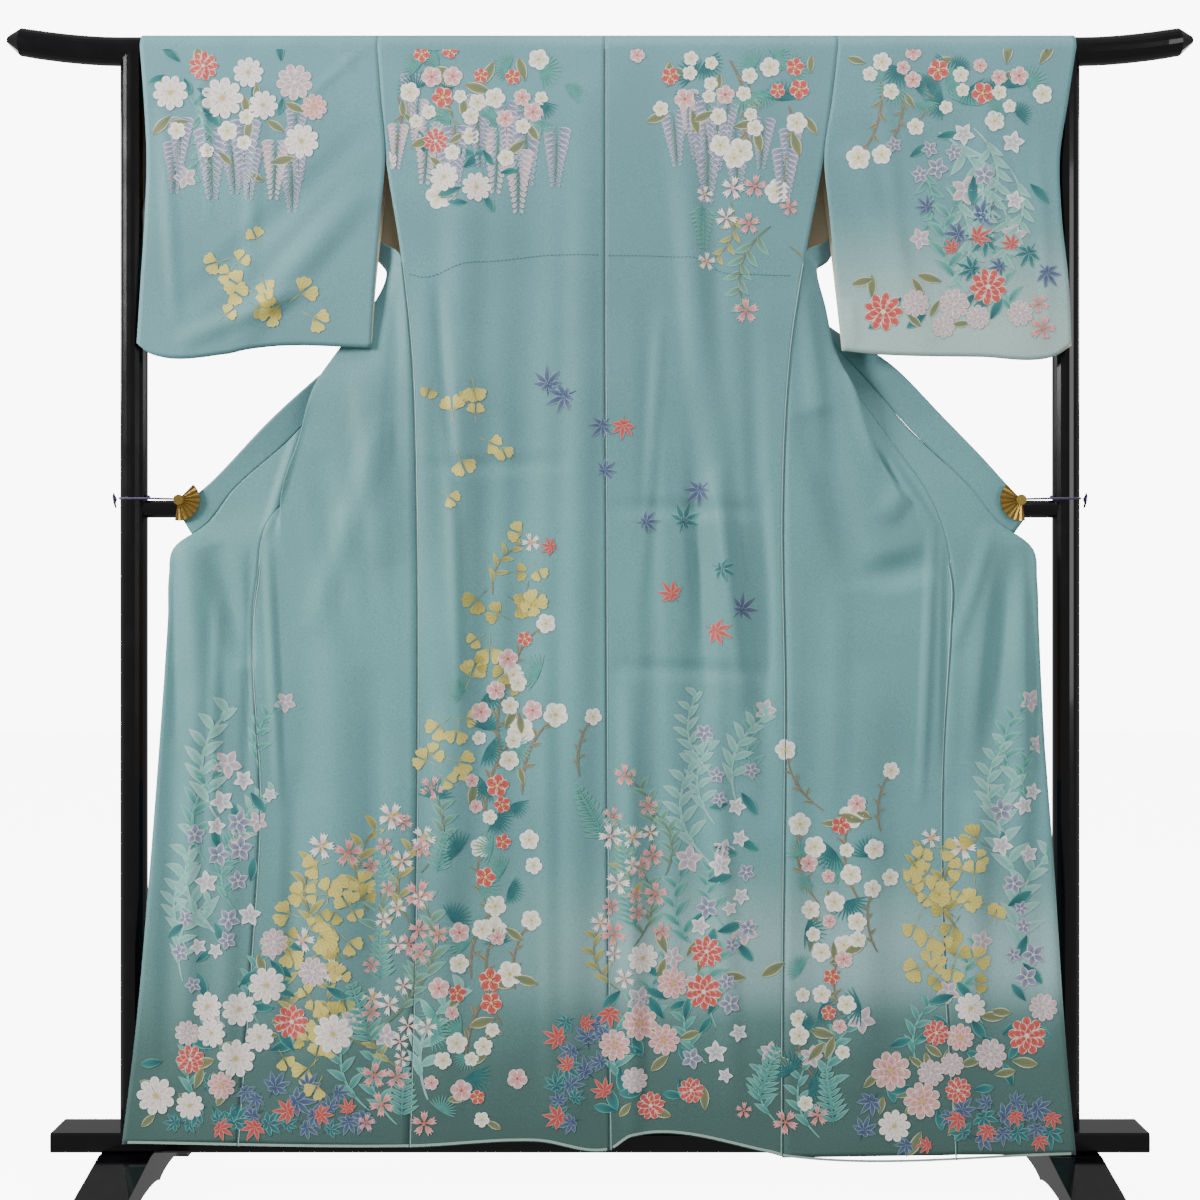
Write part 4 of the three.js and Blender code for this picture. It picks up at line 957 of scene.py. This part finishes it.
def giltMaterial():
    # Polished on the pleats' ridges, and dark in the grooves between them.
    shader = Shader("gilt", Metallic=1.0)
    place, (_, y, _) = shader.places()
    groove = y.step(-0.0272, -0.0256)
    tarnish = shader.noise(place, 300.0, 3.0).step(0.4, 0.8) * 0.35
    colour = shader.blend(groove * 0.75, opaque(tone(196, 160, 84)), opaque(tone(64, 46, 22)))
    colour = shader.blend(tarnish, colour, opaque(tone(104, 80, 42)))
    return shader.finish(colour, tarnish * 0.4 + 0.24, shader.noise(place, 500.0), 0.0001, 0.3)


def cordMaterial():
    shader = Shader("twisted cord", Sheen_Weight=0.3)
    place, _ = shader.places()
    strand = shader.node("ShaderNodeTexWave", {"wave_type": "BANDS", "bands_direction": "DIAGONAL"},
                         {"Vector": place, "Scale": 260.0, "Distortion": 1.0}, "Fac")
    colour = shader.blend(strand, opaque(tone(30, 22, 54)), opaque(tone(66, 52, 104)))
    return shader.finish(colour, strand * 0.2 + 0.6, strand, 0.0004, 0.8)


outerSilk, liningSilk, dyedFlowers = silkMaterial("silk crepe"), liningMaterial(), paintMaterial()
paleSilk = silkMaterial("silk crepe, pale end", True)
print("materials made")

beds = grow()
print("flowers placed:", {panel: len(rows) for panel, rows in sorted(beds.items())})


def hemRoll(side):
    # The facing rolls out under the outer cloth and shows as a narrow pale edge.
    x = np.linspace(-664, 10, 200) if side == "left" else np.linspace(18, 662, 200)
    path = np.stack([x, hemHeight(x) + 3.2], axis=1)
    return ribbon("body_" + side, path, 3.6, tone(146, 172, 160), 1.0)


def clothPiece(node, wall, pattern):
    outer = paleSilk if node == "sleeve_right" else outerSilk
    piece = addPiece(node + "_cloth", [wall], [outer, liningSilk])
    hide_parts(node)
    if pattern:
        addPiece(node + "_pattern", pattern, [dyedFlowers])
    print(piece.name, len(wall[1]) * 2, "triangles, its pattern", sum(len(part[1]) for part in pattern) * 2)


for side in ("left", "right"):
    flip = side == "left"
    grid, keep = bodyGrid(side)
    name = "body_" + side
    pattern = [*painted(name, beds[name]), *seamLines(side), *tuckStitches(side), hemRoll(side)]
    clothPiece(name, sheetPart(grid, keep, flip=flip), pattern)
    name = "overlap_" + side
    clothPiece(name, sheetPart(overlapGrid(side), flip=not flip), painted(name, beds[name]))
    name = "sleeve_" + side
    clothPiece(name, sheetPart(sleeveGrid(side), closed=True, flip=flip), painted(name, beds[name]))
clothPiece("collar", sheetPart(collarGrid(718, 10), flip=True), [])
clothPiece("collar_cover", sheetPart(collarGrid(350, 10), flip=True, shift=cloth["thickness"] + 0.5), [])
print("cloth hung")

lacquer, gilt, cord = lacquerMaterial(), giltMaterial(), cordMaterial()
for name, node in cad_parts.items():
    made = next((m for start, m in (("fan", gilt), ("jaw", gilt), ("cord", cord), ("knot", cord))
                 if name.startswith(start)), lacquer)
    if not node.hide_render:
        for place in node.material_slots:
            place.material = made
print("stand and clips finished")


def plane(name, corners, colour, roughness, glow):
    mesh = bpy.data.meshes.new(name)
    mesh.from_pydata(corners, [], [(0, 1, 2, 3)])
    mesh.materials.append(Shader(name, Roughness=roughness, Base_Color=opaque(colour), Emission_Color=(1, 1, 1, 1),
                                  Emission_Strength=glow).material)
    ground = bpy.data.objects.new(name, mesh)
    bpy.context.collection.objects.link(ground)
    ground.visible_diffuse = ground.visible_glossy = False  # its glow lights nothing


plane("floor", [(-9, -9, 0), (9, -9, 0), (9, 9, 0), (-9, 9, 0)], (0.9, 0.9, 0.9), 0.7, 8.0)

studio = {"distance": 2.42, "height": 0.845, "lens": 50.7, "shiftY": 0.004}
softLights = (
    ("key", (-3.2, -1.7, 2.2), (0, 0, 0.9), 1.1, 205), ("fill", (2.8, -2.6, 1.4), (0, 0, 0.8), 1.8, 46),
    ("over", (0.3, -1.0, 3.4), (0, 0, 0.9), 1.4, 46),
    ("rimLeft", (-2.4, 1.6, 1.8), (0, 0, 0.9), 0.8, 12), ("rimRight", (2.4, 1.6, 1.8), (0, 0, 0.9), 0.8, 12))
for name, place, aim, width, power in softLights:
    lamp = bpy.data.lights.new(name, "AREA")
    lamp.size, lamp.energy = width, power
    light = bpy.data.objects.new(name, lamp)
    light.location = place
    light.rotation_euler = (Vector(aim) - Vector(place)).to_track_quat("-Z", "Y").to_euler()
    bpy.context.collection.objects.link(light)
world = bpy.data.worlds.new("studio")
world.use_nodes = True
# The backdrop is bright where the camera sees it, and gives the cloth only a little light.
sky = world.node_tree
seen, bright = sky.nodes.new("ShaderNodeLightPath"), sky.nodes.new("ShaderNodeMapRange")
bright.inputs["To Min"].default_value, bright.inputs["To Max"].default_value = 0.36, 9.0
sky.links.new(seen.outputs["Is Camera Ray"], bright.inputs["Value"])
sky.links.new(bright.outputs[0], sky.nodes["Background"].inputs["Strength"])
sky.nodes["Background"].inputs["Color"].default_value = (1, 1, 1, 1)
bpy.context.scene.world = world

camera = bpy.data.cameras.new("camera")
camera.lens, camera.shift_y = studio["lens"], studio["shiftY"]
view = bpy.data.objects.new("camera", camera)
view.location = (0, -studio["distance"], studio["height"])
view.rotation_euler = (math.pi / 2, 0, 0)
bpy.context.collection.objects.link(view)
bpy.context.scene.camera = view
